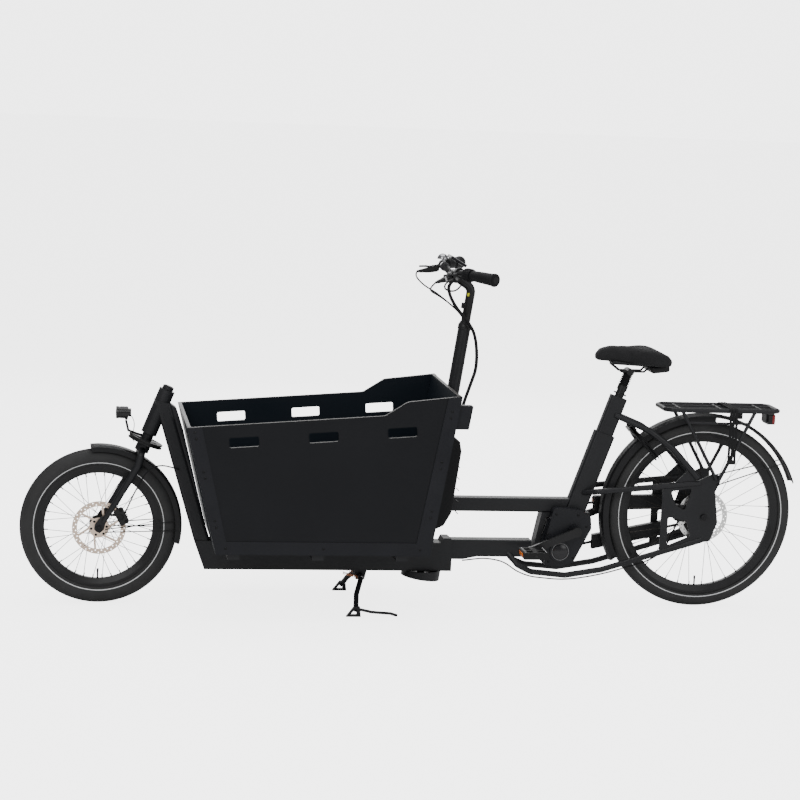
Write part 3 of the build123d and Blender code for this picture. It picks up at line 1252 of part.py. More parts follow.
def bar_cables():
    """The hoses from the levers, and the sleeved bundle they join down the back of the column."""
    bundle = [rear(-916, 1136, -54), rear(-938, 1119, -54), rear(-930, 1082, -48), rear(-905, 1040, -42),
              rear(-868, 1000, -38), rear(-840, 950, -34), rear(-824, 894, -32), rear(-826, 836, -34),
              rear(-842, 778, -40), rear(-862, 722, -48), rear(-878, 668, -56), rear(-894, 636, -64),
              rear(-907, 610.4, -70)]
    return hose(bundle, BUNDLE_R, "cable_bundle")


# ---- export ----
def front_hub():
    """Front hub shell."""
    return hub(FRONT_AXLE, FRONT_FLANGE_Y, 24, FRONT_DROPOUT_Y - NEAR, FRONT_DROPOUT_Y - NEAR,
               FRONT_ROTOR_Y)


def rear_hub():
    """Rear hub shell."""
    return hub(REAR_AXLE, REAR_FLANGE_Y, 24, REAR_DROPOUT_Y - NEAR, REAR_DROPOUT_Y - NEAR, REAR_ROTOR_Y)


def sprocket():
    """The rear sprocket on its freewheel, running on the hub."""
    ring = chain_wheel(REAR_AXLE, SPROCKET_TEETH, 15 + RUNNING)
    return ring + disc(REAR_AXLE, CHAIN_Y - 8, CHAIN_Y + 8, 22, 15 + RUNNING)


def front_axle():
    """Front wheel axle with its end nuts."""
    y = FRONT_DROPOUT_Y + FRONT_PLATE
    body = disc(FRONT_AXLE, -y, y, AXLE_R)
    return body + disc(FRONT_AXLE, -y - 5, -y, 10) + disc(FRONT_AXLE, y, y + 5, 10)


def rear_axle():
    """Rear wheel axle with its end nuts."""
    y = REAR_DROPOUT_Y + DROPOUT_THICKNESS
    body = disc(REAR_AXLE, -y, y, AXLE_R)
    return body + disc(REAR_AXLE, -y - 7, -y, 11) + disc(REAR_AXLE, y, y + 7, 11)


NODES = {
    "front_frame": front_frame,
    "chassis": lambda: chassis() + steering_tube(),
    "steering_bearings": bearings,
    "main_rails": lambda: group(upper_rail(), lower_rail()),
    "seat_tube": seat_tube,
    "rear_frame": lambda: group(*both_sides(rear_frame)),
    "box_left_panel": lambda: side_panel(-1),
    "box_right_panel": lambda: side_panel(1),
    "box_end_panels": lambda: group(*end_panels()),
    "box_floor": floor,
    "box_trims": trims,
    "battery": battery,
    "motor": motor,
    "chain_case": chain_case,
    "chain": chain,
    "rear_mudguard": rear_mudguard,
    "rack": rack,
    "tail_lamp": tail_lamp,
    "rack_strap": strap,
    "ring_lock": ring_lock,
    "rear_calliper": rear_calliper,
    "rear_axle": rear_axle,
    "frame_cables": frame_cables,
    "fork": fork,
    "steering_quadrant": quadrant,
    "front_mudguard": front_mudguard,
    "front_calliper": front_calliper,
    "front_axle": front_axle,
    "fork_cables": fork_cables,
    "headlamp": headlamp,
    "front_tyre": lambda: tyre(FRONT_AXLE, FRONT_TYRE_R, FRONT_TYRE_WIDTH, FRONT_BEAD_R),
    "front_rim": lambda: rim(FRONT_AXLE, FRONT_BEAD_R, FRONT_RIM_R),
    "front_spokes": lambda: spokes(FRONT_AXLE, FRONT_FLANGE_Y, FRONT_RIM_R, 5),
    "front_hub": front_hub,
    "front_rotor": lambda: rotor(FRONT_AXLE, FRONT_ROTOR_Y),
    "rear_tyre": lambda: tyre(REAR_AXLE, REAR_TYRE_R, REAR_TYRE_WIDTH, REAR_BEAD_R),
    "rear_rim": lambda: rim(REAR_AXLE, REAR_BEAD_R, REAR_RIM_R),
    "rear_spokes": lambda: spokes(REAR_AXLE, REAR_FLANGE_Y, REAR_RIM_R, LOCK_ANGLE + 5),
    "rear_hub": rear_hub,
    "rear_rotor": lambda: rotor(REAR_AXLE, REAR_ROTOR_Y),
    "sprocket": sprocket,
    "crank": crank,
    "pedal_left": lambda: pedal(-1),
    "pedal_right": lambda: pedal(1),
    "steering_column": column,
    "stem": stem,
    "handlebar": handlebar,
    "grips": grips,
    "twist_shifter": shifter,
    "display": display,
    "bell": bell,
    "brake_lever_left": lambda: brake_lever(-1),
    "brake_lever_right": lambda: brake_lever(1),
    "bar_cables": bar_cables,
    "seatpost": seatpost,
    "post_head": post_head,
    "saddle": saddle,
    "stand": stand,
    "lock_shackle": shackle,
}


def main():
    """Build every piece and write one STEP file for each."""
    os.makedirs("parts", exist_ok=True)
    for name, make in NODES.items():
        export_step(one(make()), f"parts/{name}.step")


if __name__ == "__main__":
    main()
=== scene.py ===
import json
import math

import bmesh
import bpy
from bpy.props import FloatProperty, FloatVectorProperty, IntProperty, PointerProperty
from mathutils import Matrix, Vector


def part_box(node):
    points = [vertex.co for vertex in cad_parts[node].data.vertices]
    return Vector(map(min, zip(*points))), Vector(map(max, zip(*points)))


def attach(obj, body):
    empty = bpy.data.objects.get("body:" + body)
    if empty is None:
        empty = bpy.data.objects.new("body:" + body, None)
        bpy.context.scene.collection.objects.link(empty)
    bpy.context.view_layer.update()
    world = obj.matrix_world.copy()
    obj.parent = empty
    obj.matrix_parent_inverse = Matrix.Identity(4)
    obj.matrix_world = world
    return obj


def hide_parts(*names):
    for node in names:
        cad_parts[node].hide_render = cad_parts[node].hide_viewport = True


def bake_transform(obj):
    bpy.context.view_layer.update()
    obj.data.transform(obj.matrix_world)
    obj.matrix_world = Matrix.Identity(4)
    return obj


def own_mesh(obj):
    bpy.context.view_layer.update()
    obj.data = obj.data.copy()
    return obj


bl_info = {
    "name": "Long Cargo Bicycle",
    "version": (1, 0, 0),
    "blender": (4, 5, 0),
    "location": "3D View > Sidebar > Cargo Bicycle",
    "description": "Finishes and small parts for a long cargo bicycle",
    "category": "Object",
}

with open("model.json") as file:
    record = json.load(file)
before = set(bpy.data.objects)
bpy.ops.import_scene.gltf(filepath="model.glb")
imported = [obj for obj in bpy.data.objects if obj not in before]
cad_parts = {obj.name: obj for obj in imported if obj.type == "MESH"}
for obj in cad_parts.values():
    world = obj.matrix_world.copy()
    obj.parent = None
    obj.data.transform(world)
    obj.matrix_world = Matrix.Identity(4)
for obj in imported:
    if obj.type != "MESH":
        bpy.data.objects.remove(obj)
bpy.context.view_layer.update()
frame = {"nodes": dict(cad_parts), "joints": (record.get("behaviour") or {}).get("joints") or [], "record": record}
JOINT = {joint["name"]: joint for joint in frame["joints"]}
PLACE = {name: Vector(joint["pos_m"]) for name, joint in JOINT.items() if "pos_m" in joint}
AXIS = {name: Vector(joint["axis"]).normalized() for name, joint in JOINT.items()}
FRONT_AXLE = PLACE["front_wheel_spin"]
REAR_AXLE = PLACE["rear_wheel_spin"]
CRANK = PLACE["crank_spin"]
SIDEWAYS = Vector((0, 1, 0))
SEAT_FOOT = Vector((0.56957, 0, 0.361))  # where the seat tube's axis meets the main rails
BUNDLE_R = 0.0058
BRAKE_HOSE_R = 0.0025
SPOKE_COUNT = 36


# ---- sizes and colours ----
class WheelSettings(bpy.types.PropertyGroup):
    stripe_width: FloatProperty(name="Stripe width", description="Width of the pale line on each sidewall",
                                default=0.0028, min=0.001, max=0.01, unit="LENGTH")
    front_stripe: FloatProperty(name="Front stripe radius", description="Radius of the front tyre's pale line",
                                default=0.2186, unit="LENGTH")
    rear_stripe: FloatProperty(name="Rear stripe radius", description="Radius of the rear tyre's pale line",
                               default=0.2934, unit="LENGTH")
    nipple: FloatProperty(name="Nipple length", description="Length of a spoke nipple", default=0.011, unit="LENGTH")
    valve: FloatProperty(name="Valve length", description="Length of a valve", default=0.034, unit="LENGTH")
    teeth_front: IntProperty(name="Chainring teeth", description="Teeth on the chainring", default=38, min=20)
    teeth_rear: IntProperty(name="Sprocket teeth", description="Teeth on the sprocket", default=18, min=9)


class BodySettings(bpy.types.PropertyGroup):
    paint: FloatVectorProperty(name="Frame paint", description="Colour of the satin frame paint",
                               default=(0.0125, 0.0128, 0.0146), subtype="COLOR", min=0, max=1)
    board: FloatVectorProperty(name="Box board", description="Colour of the coated box board",
                               default=(0.0085, 0.0089, 0.0108), subtype="COLOR", min=0, max=1)
    inside: FloatVectorProperty(name="Box inside", description="Colour of the board inside the box",
                                default=(0.0085, 0.0125, 0.018), subtype="COLOR", min=0, max=1)
    cut_edge: FloatVectorProperty(name="Board edge", description="Colour of the board's cut edges",
                                  default=(0.055, 0.052, 0.05), subtype="COLOR", min=0, max=1)
    cloth: FloatVectorProperty(name="Saddle cloth", description="Colour of the saddle's woven cover",
                               default=(0.0125, 0.0125, 0.0132), subtype="COLOR", min=0, max=1)
    screw_radius: FloatProperty(name="Screw head radius", description="Radius of the box's screw heads",
                                default=0.0042, unit="LENGTH")


class StageSettings(bpy.types.PropertyGroup):
    floor_tone: FloatProperty(name="Floor tone", description="How pale the floor is", default=0.82, min=0, max=1)
    floor_glow: FloatProperty(name="Floor glow", description="Lifts the paper floor to a white sweep", default=3.6,
                              min=0)
    backdrop: FloatProperty(name="Backdrop", description="Brightness of the white backdrop", default=3.75, min=0)
    ambient: FloatProperty(name="Ambient", description="Strength of the even studio light", default=0.36, min=0)
    key_power: FloatProperty(name="Top light", description="Power of the main light in watts", default=150, min=0)


# ---- node helpers ----
def add_node(tree, kind, **values):
    """A node of a kind, with attributes and inputs set by name."""
    node = tree.nodes.new(kind)
    for key, value in values.items():
        if hasattr(node, key):
            setattr(node, key, value)
        else:
            node.inputs[key.replace("_", " ")].default_value = value
    return node


def maths(tree, operation, first, second=None, third=None):
    """A maths node whose inputs are sockets or numbers; returns its output."""
    node = tree.nodes.new("ShaderNodeMath")
    node.operation = operation
    for slot, value in enumerate((first, second, third)):
        if value is None:
            continue
        if isinstance(value, (int, float)):
            node.inputs[slot].default_value = value
        else:
            tree.links.new(value, node.inputs[slot])
    return node.outputs[0]


def new_group(name, inputs, outputs):
    """An empty shader group with named sockets; returns tree, input node and output node."""
    tree = bpy.data.node_groups.new(name, "ShaderNodeTree")
    for label, kind, default in inputs:
        socket = tree.interface.new_socket(name=label, in_out="INPUT", socket_type=kind)
        if default is not None:
            socket.default_value = default
    for label, kind in outputs:
        tree.interface.new_socket(name=label, in_out="OUTPUT", socket_type=kind)
    return tree, tree.nodes.new("NodeGroupInput"), tree.nodes.new("NodeGroupOutput")


def tone_group():
    """Two tones mixed by soft patches, with a roughness that follows them."""
    tree, into, out = new_group(
        "Soft Patches",
        [("Vector", "NodeSocketVector", None), ("Tone One", "NodeSocketColor", None),
         ("Tone Two", "NodeSocketColor", None), ("Patch Scale", "NodeSocketFloat", 8.0),
         ("Rough Low", "NodeSocketFloat", 0.4), ("Rough High", "NodeSocketFloat", 0.5)],
        [("Color", "NodeSocketColor"), ("Roughness", "NodeSocketFloat")])
    noise = add_node(tree, "ShaderNodeTexNoise", Detail=5.0, Roughness=0.6)
    tree.links.new(into.outputs["Vector"], noise.inputs["Vector"])
    tree.links.new(into.outputs["Patch Scale"], noise.inputs["Scale"])
    spread = add_node(tree, "ShaderNodeMapRange", From_Min=0.3, From_Max=0.7)
    tree.links.new(noise.outputs["Fac"], spread.inputs["Value"])
    mix = tree.nodes.new("ShaderNodeMix")
    mix.data_type = "RGBA"
    tree.links.new(spread.outputs["Result"], mix.inputs["Factor"])
    tree.links.new(into.outputs["Tone One"], mix.inputs[6])
    tree.links.new(into.outputs["Tone Two"], mix.inputs[7])
    rough = add_node(tree, "ShaderNodeMapRange", From_Min=0.3, From_Max=0.7)
    tree.links.new(noise.outputs["Fac"], rough.inputs["Value"])
    tree.links.new(into.outputs["Rough Low"], rough.inputs["To Min"])
    tree.links.new(into.outputs["Rough High"], rough.inputs["To Max"])
    tree.links.new(mix.outputs[2], out.inputs["Color"])
    tree.links.new(rough.outputs["Result"], out.inputs["Roughness"])
    return tree


def grain_group():
    """Fine grain: small bumps with a few coarser ones."""
    tree, into, out = new_group(
        "Fine Grain", [("Vector", "NodeSocketVector", None), ("Scale", "NodeSocketFloat", 900.0)],
        [("Height", "NodeSocketFloat")])
    fine = add_node(tree, "ShaderNodeTexNoise", Detail=3.0, Roughness=0.55)
    cells = add_node(tree, "ShaderNodeTexVoronoi")
    for node in (fine, cells):
        tree.links.new(into.outputs["Vector"], node.inputs["Vector"])
        tree.links.new(into.outputs["Scale"], node.inputs["Scale"])
    total = maths(tree, "ADD", fine.outputs["Fac"], maths(tree, "MULTIPLY", cells.outputs["Distance"], 0.5))
    tree.links.new(total, out.inputs["Height"])
    return tree


def weave_group():
    """Two crossing sets of threads."""
    tree, into, out = new_group(
        "Plain Weave", [("Vector", "NodeSocketVector", None), ("Threads", "NodeSocketFloat", 900.0)],
        [("Height", "NodeSocketFloat"), ("Mask", "NodeSocketFloat")])
    parts = tree.nodes.new("ShaderNodeSeparateXYZ")
    tree.links.new(into.outputs["Vector"], parts.inputs[0])
    waves = []
    for pair in ((0, 2), (1, 2)):
        along = maths(tree, "ADD", parts.outputs[pair[0]], maths(tree, "MULTIPLY", parts.outputs[pair[1]], 0.7))
        phase = maths(tree, "MULTIPLY", along, maths(tree, "MULTIPLY", into.outputs["Threads"], 6.2832))
        waves.append(maths(tree, "SINE", phase))
    crossed = maths(tree, "MULTIPLY", waves[0], waves[1])
    height = maths(tree, "MULTIPLY_ADD", crossed, 0.5, 0.5)
    tree.links.new(height, out.inputs["Height"])
    tree.links.new(height, out.inputs["Mask"])
    return tree


def tread_group():
    """Tread blocks round a tyre, in coordinates centred on its axle."""
    tree, into, out = new_group(
        "Tyre Tread",
        [("Vector", "NodeSocketVector", None), ("Blocks", "NodeSocketFloat", 200.0),
         ("Half Width", "NodeSocketFloat", 0.02)],
        [("Height", "NodeSocketFloat"), ("Mask", "NodeSocketFloat")])
    parts = tree.nodes.new("ShaderNodeSeparateXYZ")
    tree.links.new(into.outputs["Vector"], parts.inputs[0])
    angle = maths(tree, "ARCTAN2", parts.outputs["Z"], parts.outputs["X"])
    across = maths(tree, "ABSOLUTE", parts.outputs["Y"])
    slant = maths(tree, "MULTIPLY", across, 220.0)
    turn = maths(tree, "MULTIPLY", angle, into.outputs["Blocks"])
    cuts = maths(tree, "SINE", maths(tree, "ADD", turn, slant))
    rows = maths(tree, "SINE", maths(tree, "MULTIPLY", across, 700.0))
    block = maths(tree, "MULTIPLY", maths(tree, "GREATER_THAN", cuts, -0.55),
                  maths(tree, "GREATER_THAN", rows, -0.75))
    edge = maths(tree, "LESS_THAN", across, into.outputs["Half Width"])
    reach = maths(tree, "SQRT", maths(tree, "ADD", maths(tree, "POWER", parts.outputs["X"], 2.0),
                                      maths(tree, "POWER", parts.outputs["Z"], 2.0)))
    ribs = maths(tree, "MULTIPLY", maths(tree, "SINE", maths(tree, "MULTIPLY", reach, 1800.0)), 0.06)
    height = maths(tree, "ADD", maths(tree, "MULTIPLY", block, edge), ribs)
    tree.links.new(height, out.inputs["Height"])
    tree.links.new(maths(tree, "MULTIPLY", block, edge), out.inputs["Mask"])
    return tree


def place_group(tree, name, **links):
    """A shared group in a material's tree, its inputs linked or set."""
    node = tree.nodes.new("ShaderNodeGroup")
    node.node_tree = bpy.data.node_groups[name]
    for label, value in links.items():
        socket = node.inputs[label.replace("_", " ")]
        if isinstance(value, (int, float, tuple)):
            socket.default_value = value
        else:
            tree.links.new(value, socket)
    return node


def lighter(tone, gain):
    """A colour scaled by gain, with full alpha."""
    return tuple(min(1.0, channel * gain) for channel in tone[:3]) + (1.0,)


def make_finish(name, tone, rough, metallic=0.0, gain=1.5, patch=9.0, spread=0.08, grain=1200.0, depth=0.00012,
                coat=0.0, gloss=0.25, centre=None):
    """A material with soft patches of tone and roughness and a fine grain; returns it with its main nodes."""
    material = bpy.data.materials.new(name + "_finish")
    material.use_nodes = True
    tree = material.node_tree
    shader = tree.nodes["Principled BSDF"]
    place = tree.nodes.new("ShaderNodeTexCoord").outputs["Object"]
    if centre is not None:
        mapping = add_node(tree, "ShaderNodeMapping")
        mapping.inputs["Location"].default_value = -centre
        tree.links.new(place, mapping.inputs["Vector"])
        place = mapping.outputs["Vector"]
    tone_node = place_group(tree, "Soft Patches", Vector=place, Tone_One=lighter(tone, 1.0),
                            Tone_Two=lighter(tone, gain), Patch_Scale=patch, Rough_Low=rough - spread,
                            Rough_High=rough + spread)
    grain_node = place_group(tree, "Fine Grain", Vector=place, Scale=grain)
    bump = add_node(tree, "ShaderNodeBump", Strength=1.0, Distance=depth)
    tree.links.new(grain_node.outputs["Height"], bump.inputs["Height"])
    tree.links.new(tone_node.outputs["Color"], shader.inputs["Base Color"])
    tree.links.new(tone_node.outputs["Roughness"], shader.inputs["Roughness"])
    tree.links.new(bump.outputs["Normal"], shader.inputs["Normal"])
    shader.inputs["Metallic"].default_value = metallic
    shader.inputs["Specular IOR Level"].default_value = gloss
    shader.inputs["Coat Weight"].default_value = coat
    shader.inputs["Coat Roughness"].default_value = 0.3
    return {"material": material, "tree": tree, "shader": shader, "place": place, "tone": tone_node,
            "grain": grain_node, "bump": bump}


def mix_colour(tree, factor, first, second):
    """Mix two colours, sockets or tuples, by a socket."""
    mix = tree.nodes.new("ShaderNodeMix")
    mix.data_type = "RGBA"
    tree.links.new(factor, mix.inputs["Factor"])
    for slot, value in ((6, first), (7, second)):
        if isinstance(value, tuple):
            mix.inputs[slot].default_value = value
        else:
            tree.links.new(value, mix.inputs[slot])
    return mix.outputs[2]


def board_finish(settings):
    """Coated box board: dark faces, bluish inside, pale brown cut edges."""
    made = make_finish("box_board", settings.board, 0.42, gain=1.25, patch=3.0, grain=700.0, depth=0.0001, gloss=0.18)
    tree = made["tree"]
    normal = tree.nodes.new("ShaderNodeNewGeometry").outputs["Normal"]
    facing = tree.nodes.new("ShaderNodeSeparateXYZ")
    tree.links.new(normal, facing.inputs[0])
    where = tree.nodes.new("ShaderNodeSeparateXYZ")
    tree.links.new(made["place"], where.inputs[0])
    sideways = maths(tree, "ABSOLUTE", facing.outputs["Y"])
    upward = maths(tree, "GREATER_THAN", facing.outputs["Z"], 0.6)
    high = maths(tree, "GREATER_THAN", where.outputs["Z"], 0.3)
    is_edge = maths(tree, "MULTIPLY", maths(tree, "MULTIPLY", upward, high), maths(tree, "LESS_THAN", sideways, 0.5))
    is_inside = maths(tree, "LESS_THAN", maths(tree, "ABSOLUTE", where.outputs["Y"]), 0.2715)
    faces = mix_colour(tree, is_inside, made["tone"].outputs["Color"], tuple(settings.inside) + (1.0,))
    colour = mix_colour(tree, is_edge, faces, tuple(settings.cut_edge) + (1.0,))
    tree.links.new(colour, made["shader"].inputs["Base Color"])
    return made


def tyre_finish(name, centre, blocks, half_width):
    """Rubber with tread blocks on its crown and fine ribs on its sidewalls."""
    made = make_finish(name, (0.026, 0.026, 0.0265), 0.7, gain=1.5, gloss=0.28, patch=14.0, grain=1500.0,
                       centre=centre)
    tree = made["tree"]
    tread = place_group(tree, "Tyre Tread", Vector=made["place"], Blocks=blocks, Half_Width=half_width)
    bump = add_node(tree, "ShaderNodeBump", Strength=1.0, Distance=0.0014)
    tree.links.new(tread.outputs["Height"], bump.inputs["Height"])
    tree.links.new(made["bump"].outputs["Normal"], bump.inputs["Normal"])
    tree.links.new(bump.outputs["Normal"], made["shader"].inputs["Normal"])
    colour = mix_colour(tree, tread.outputs["Mask"], made["tone"].outputs["Color"], (0.042, 0.042, 0.043, 1.0))
    tree.links.new(colour, made["shader"].inputs["Base Color"])
    return made


def cloth_finish(name, tone, threads, depth):
    """Woven cloth with a soft sheen."""
    made = make_finish(name, tone, 0.85, gain=1.8, patch=20.0, grain=2500.0, depth=0.0001, gloss=0.12)
    tree = made["tree"]
    weave = place_group(tree, "Plain Weave", Vector=made["place"], Threads=threads)
    bump = add_node(tree, "ShaderNodeBump", Strength=1.0, Distance=depth)
    tree.links.new(weave.outputs["Height"], bump.inputs["Height"])
    tree.links.new(made["bump"].outputs["Normal"], bump.inputs["Normal"])
    tree.links.new(bump.outputs["Normal"], made["shader"].inputs["Normal"])
    colour = mix_colour(tree, weave.outputs["Mask"], made["tone"].outputs["Color"], lighter(tone, 2.2))
    tree.links.new(colour, made["shader"].inputs["Base Color"])
    made["shader"].inputs["Sheen Weight"].default_value = 0.03
    made["shader"].inputs["Sheen Roughness"].default_value = 0.5
    return made


PLAIN_FINISHES = {
    "bare_steel": dict(tone=(0.72, 0.72, 0.73), rough=0.3, metallic=1.0, gain=1.1, depth=0.00005),
    "dark_steel": dict(tone=(0.02, 0.02, 0.021), rough=0.38, metallic=0.9, gain=1.7),
    "spoke_black": dict(tone=(0.035, 0.031, 0.028), rough=0.34, metallic=0.8, gain=1.6, depth=0.00003),
    "aluminium_black": dict(tone=(0.0116, 0.0116, 0.0124), rough=0.36, gain=1.6, gloss=0.29, depth=0.00006),
    "aluminium": dict(tone=(0.8, 0.8, 0.81), rough=0.18, metallic=1.0, gain=1.08, depth=0.00003),
    "rotor_steel": dict(tone=(0.82, 0.66, 0.54), rough=0.32, metallic=1.0, gain=1.15, grain=2200.0, depth=0.00008),
    "silver_rotor": dict(tone=(0.85, 0.85, 0.84), rough=0.3, metallic=1.0, gain=1.1, grain=2200.0, depth=0.00008),
    "edging": dict(tone=(0.0116, 0.012, 0.0148), rough=0.38, gain=1.3, gloss=0.2),
    "battery_plastic": dict(tone=(0.0086, 0.0086, 0.0096), rough=0.5, gain=1.4, gloss=0.18, grain=1600.0,
                            depth=0.0002),
    "motor_case": dict(tone=(0.0106, 0.011, 0.0134), rough=0.38, gain=1.4, gloss=0.25, grain=1500.0),
    "guard_plastic": dict(tone=(0.0096, 0.0096, 0.0106), rough=0.4, gain=1.4, gloss=0.25),
    "rubber_black": dict(tone=(0.0086, 0.0086, 0.0096), rough=0.6, gain=1.5, gloss=0.18, grain=1400.0, depth=0.0002),
    "lamp_plastic": dict(tone=(0.0086, 0.0086, 0.0096), rough=0.24, gain=1.3, gloss=0.45),
    "red_lens": dict(tone=(0.22, 0.004, 0.004), rough=0.16, gain=1.4, coat=0.3, gloss=0.5, depth=0.00005),
    "display_plastic": dict(tone=(0.0076, 0.0076, 0.0096), rough=0.2, gain=1.3, gloss=0.5),
    "pedal_plastic": dict(tone=(0.0096, 0.0096, 0.01), rough=0.55, gain=1.5, gloss=0.22, grain=1300.0, depth=0.0003),
    "pale_stripe": dict(tone=(0.7, 0.71, 0.72), rough=0.45, gain=1.15, grain=2600.0),
    "amber_reflector": dict(tone=(0.9, 0.18, 0.01), rough=0.18, gain=1.3, coat=0.6, grain=500.0, depth=0.0004),
    "copper_spring": dict(tone=(0.7, 0.32, 0.16), rough=0.32, metallic=1.0, gain=1.3, depth=0.00005),
    "yellow_mark": dict(tone=(0.8, 0.8, 0.03), rough=0.4, gain=1.2),
    "bell_metal": dict(tone=(0.3, 0.3, 0.31), rough=0.22, metallic=1.0, gain=1.15, depth=0.00003),
    "grey_plastic": dict(tone=(0.2, 0.2, 0.205), rough=0.45, gain=1.15),
    "screen_glass": dict(tone=(0.05, 0.055, 0.06), rough=0.12, gain=1.4, gloss=0.5),
}


def finish(name):
    """A finish by name."""
    return bpy.data.materials[name + "_finish"]


def lens_finish():
    """Clear lamp lens with fine prisms."""
    made = make_finish("lamp_lens", (0.75, 0.78, 0.8), 0.08, gain=1.1, spread=0.03, grain=420.0, depth=0.0009)
    made["shader"].inputs["Transmission Weight"].default_value = 0.75
    return made


# ---- mesh helpers ----
def add_piece(name, shape, body, material, smooth=True):
    """A finished bmesh as an object that rides on a body."""
    mesh = bpy.data.meshes.new(name)
    shape.to_mesh(mesh)
    shape.free()
    piece = bpy.data.objects.new(name, mesh)
    bpy.context.scene.collection.objects.link(piece)
    mesh.materials.append(material)
    mesh.shade_smooth()
    if not smooth:
        mesh.shade_flat()
    if body:
        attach(piece, body)
    return piece


def sharpen(piece, degrees=35):
    """Hard edges where faces meet at more than degrees."""
    mesh = piece.data
    shape = bmesh.new()
    shape.from_mesh(mesh)
    for edge in shape.edges:
        edge.smooth = len(edge.link_faces) != 2 or edge.calc_face_angle(0) < math.radians(degrees)
    shape.to_mesh(mesh)
    shape.free()
    return piece


def placed(centre, direction=(0, 0, 1), hint=(1, 0, 0)):
    """A matrix at centre whose Z is direction and whose X leans to hint."""
    z = Vector(direction).normalized()
    x = Vector(hint) - z * Vector(hint).dot(z)
    if x.length < 1e-4:
        x = z.orthogonal()
    x.normalize()
    y = z.cross(x)
    return Matrix.Translation(Vector(centre)) @ Matrix((x, y, z)).transposed().to_4x4()


def add_turned(shape, profile, matrix, steps=32, closed=False):
    """Spin a profile of radius and height about Z, then place it."""
    verts = [shape.verts.new((radius, 0, height)) for radius, height in profile]
    edges = [shape.edges.new(pair) for pair in zip(verts, verts[1:])]
    if closed:
        edges.append(shape.edges.new((verts[-1], verts[0])))
    before = set(shape.verts)
    bmesh.ops.spin(shape, geom=verts + edges, cent=(0, 0, 0), axis=(0, 0, 1), angle=math.tau, steps=steps,
                   use_merge=True)
    made = verts + [v for v in shape.verts if v not in before]
    bmesh.ops.remove_doubles(shape, verts=made, dist=1e-6)
    made = [v for v in made if v.is_valid]
    faces = list({face for v in made for face in v.link_faces})
    bmesh.ops.recalc_face_normals(shape, faces=faces)
    bmesh.ops.transform(shape, matrix=matrix, verts=made)
    return made


def add_block(shape, size, matrix, bevel=0.0, segments=2):
    """A block with its edges bevelled."""
    made = bmesh.ops.create_cube(shape, size=1.0)["verts"]
    bmesh.ops.scale(shape, vec=size, verts=made)
    if bevel:
        edges = list({edge for v in made for edge in v.link_edges})
        result = bmesh.ops.bevel(shape, geom=edges, offset=bevel, segments=segments, profile=0.5,
                                 affect="EDGES", material=-1)
        made = list({v for face in result["faces"] for v in face.verts} | {v for v in made if v.is_valid})
    bmesh.ops.transform(shape, matrix=matrix, verts=made)
    return made


def add_bolt(shape, centre, direction, radius, height, socket=True):
    """A button head with a round socket."""
    profile = [(radius, 0), (radius, height * 0.35), (radius * 0.72, height), (radius * 0.5, height)]
    if socket:
        profile += [(radius * 0.45, height * 0.5), (0, height * 0.5)]
    else:
        profile += [(0, height)]
    add_turned(shape, profile, placed(centre, direction), steps=12)


def tube(name, points, radius, body, material, resolution=6):
    """A round tube on a smooth line through control points."""
    curve = bpy.data.curves.new(name, "CURVE")
    curve.dimensions = "3D"
    curve.bevel_depth = radius
    curve.bevel_resolution = 3
    curve.use_fill_caps = True
    spline = curve.splines.new("NURBS")
    spline.points.add(len(points) - 1)
    for point, place in zip(spline.points, points):
        point.co = (*place, 1.0)
    spline.order_u = 3
    spline.use_endpoint_u = True
    spline.resolution_u = resolution
    source = bpy.data.objects.new(name + "_line", curve)
    bpy.context.scene.collection.objects.link(source)
    bpy.context.view_layer.update()
    mesh = bpy.data.meshes.new_from_object(source.evaluated_get(bpy.context.evaluated_depsgraph_get()))
    bpy.data.objects.remove(source)
    mesh.name = name
    mesh.materials.clear()
    mesh.materials.append(material)
    mesh.shade_smooth()
    piece = bpy.data.objects.new(name, mesh)
    bpy.context.scene.collection.objects.link(piece)
    if body:
        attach(piece, body)
    return piece


def around(centre, radius, angle, y=0.0):
    """A point on a circle about a wheel's axle."""
    return Vector((centre.x + radius * math.cos(angle), y, centre.z + radius * math.sin(angle)))


# ---- operators ----
class CARGO_OT_finishes(bpy.types.Operator):
    """Give every sub-part of the bicycle its own finish"""
    bl_idname = "cargo.finishes"
    bl_label = "Finishes"

    def execute(self, context):
        settings = context.scene.cargo_body
        for build in (tone_group, grain_group, weave_group, tread_group):
            build()
        make_finish("frame_paint", settings.paint, 0.4, gain=1.35, patch=5.0, gloss=0.3, grain=1500.0)
        board_finish(settings)
        lens_finish()
        for name, values in PLAIN_FINISHES.items():
            make_finish(name, **values)
        tyre_finish("front_tread", FRONT_AXLE, 210.0, 0.0215)
        tyre_finish("rear_tread", REAR_AXLE, 260.0, 0.0185)
        cloth_finish("saddle_fabric", settings.cloth, 520.0, 0.0003)
        cloth_finish("strap_elastic", (0.0095, 0.0095, 0.01), 430.0, 0.0004)
        special = {"front_tyre": "front_tread", "rear_tyre": "rear_tread", "rear_rotor": "silver_rotor",
                   "front_spokes": "spoke_black", "rear_spokes": "spoke_black", "handlebar": "aluminium_black",
                   "brake_lever_left": "aluminium_black", "brake_lever_right": "aluminium_black",
                   "tail_lamp": "lamp_plastic", "ring_lock": "guard_plastic", "lock_shackle": "dark_steel",
                   "rear_axle": "dark_steel", "front_axle": "dark_steel", "bell": "bell_metal"}
        for row in frame["record"]["subparts"]:
            node = frame["nodes"][row["node"]]
            name = special.get(row["node"], row["material_slot"])
            node.data.materials.clear()
            node.data.materials.append(finish(name))
        return {"FINISHED"}


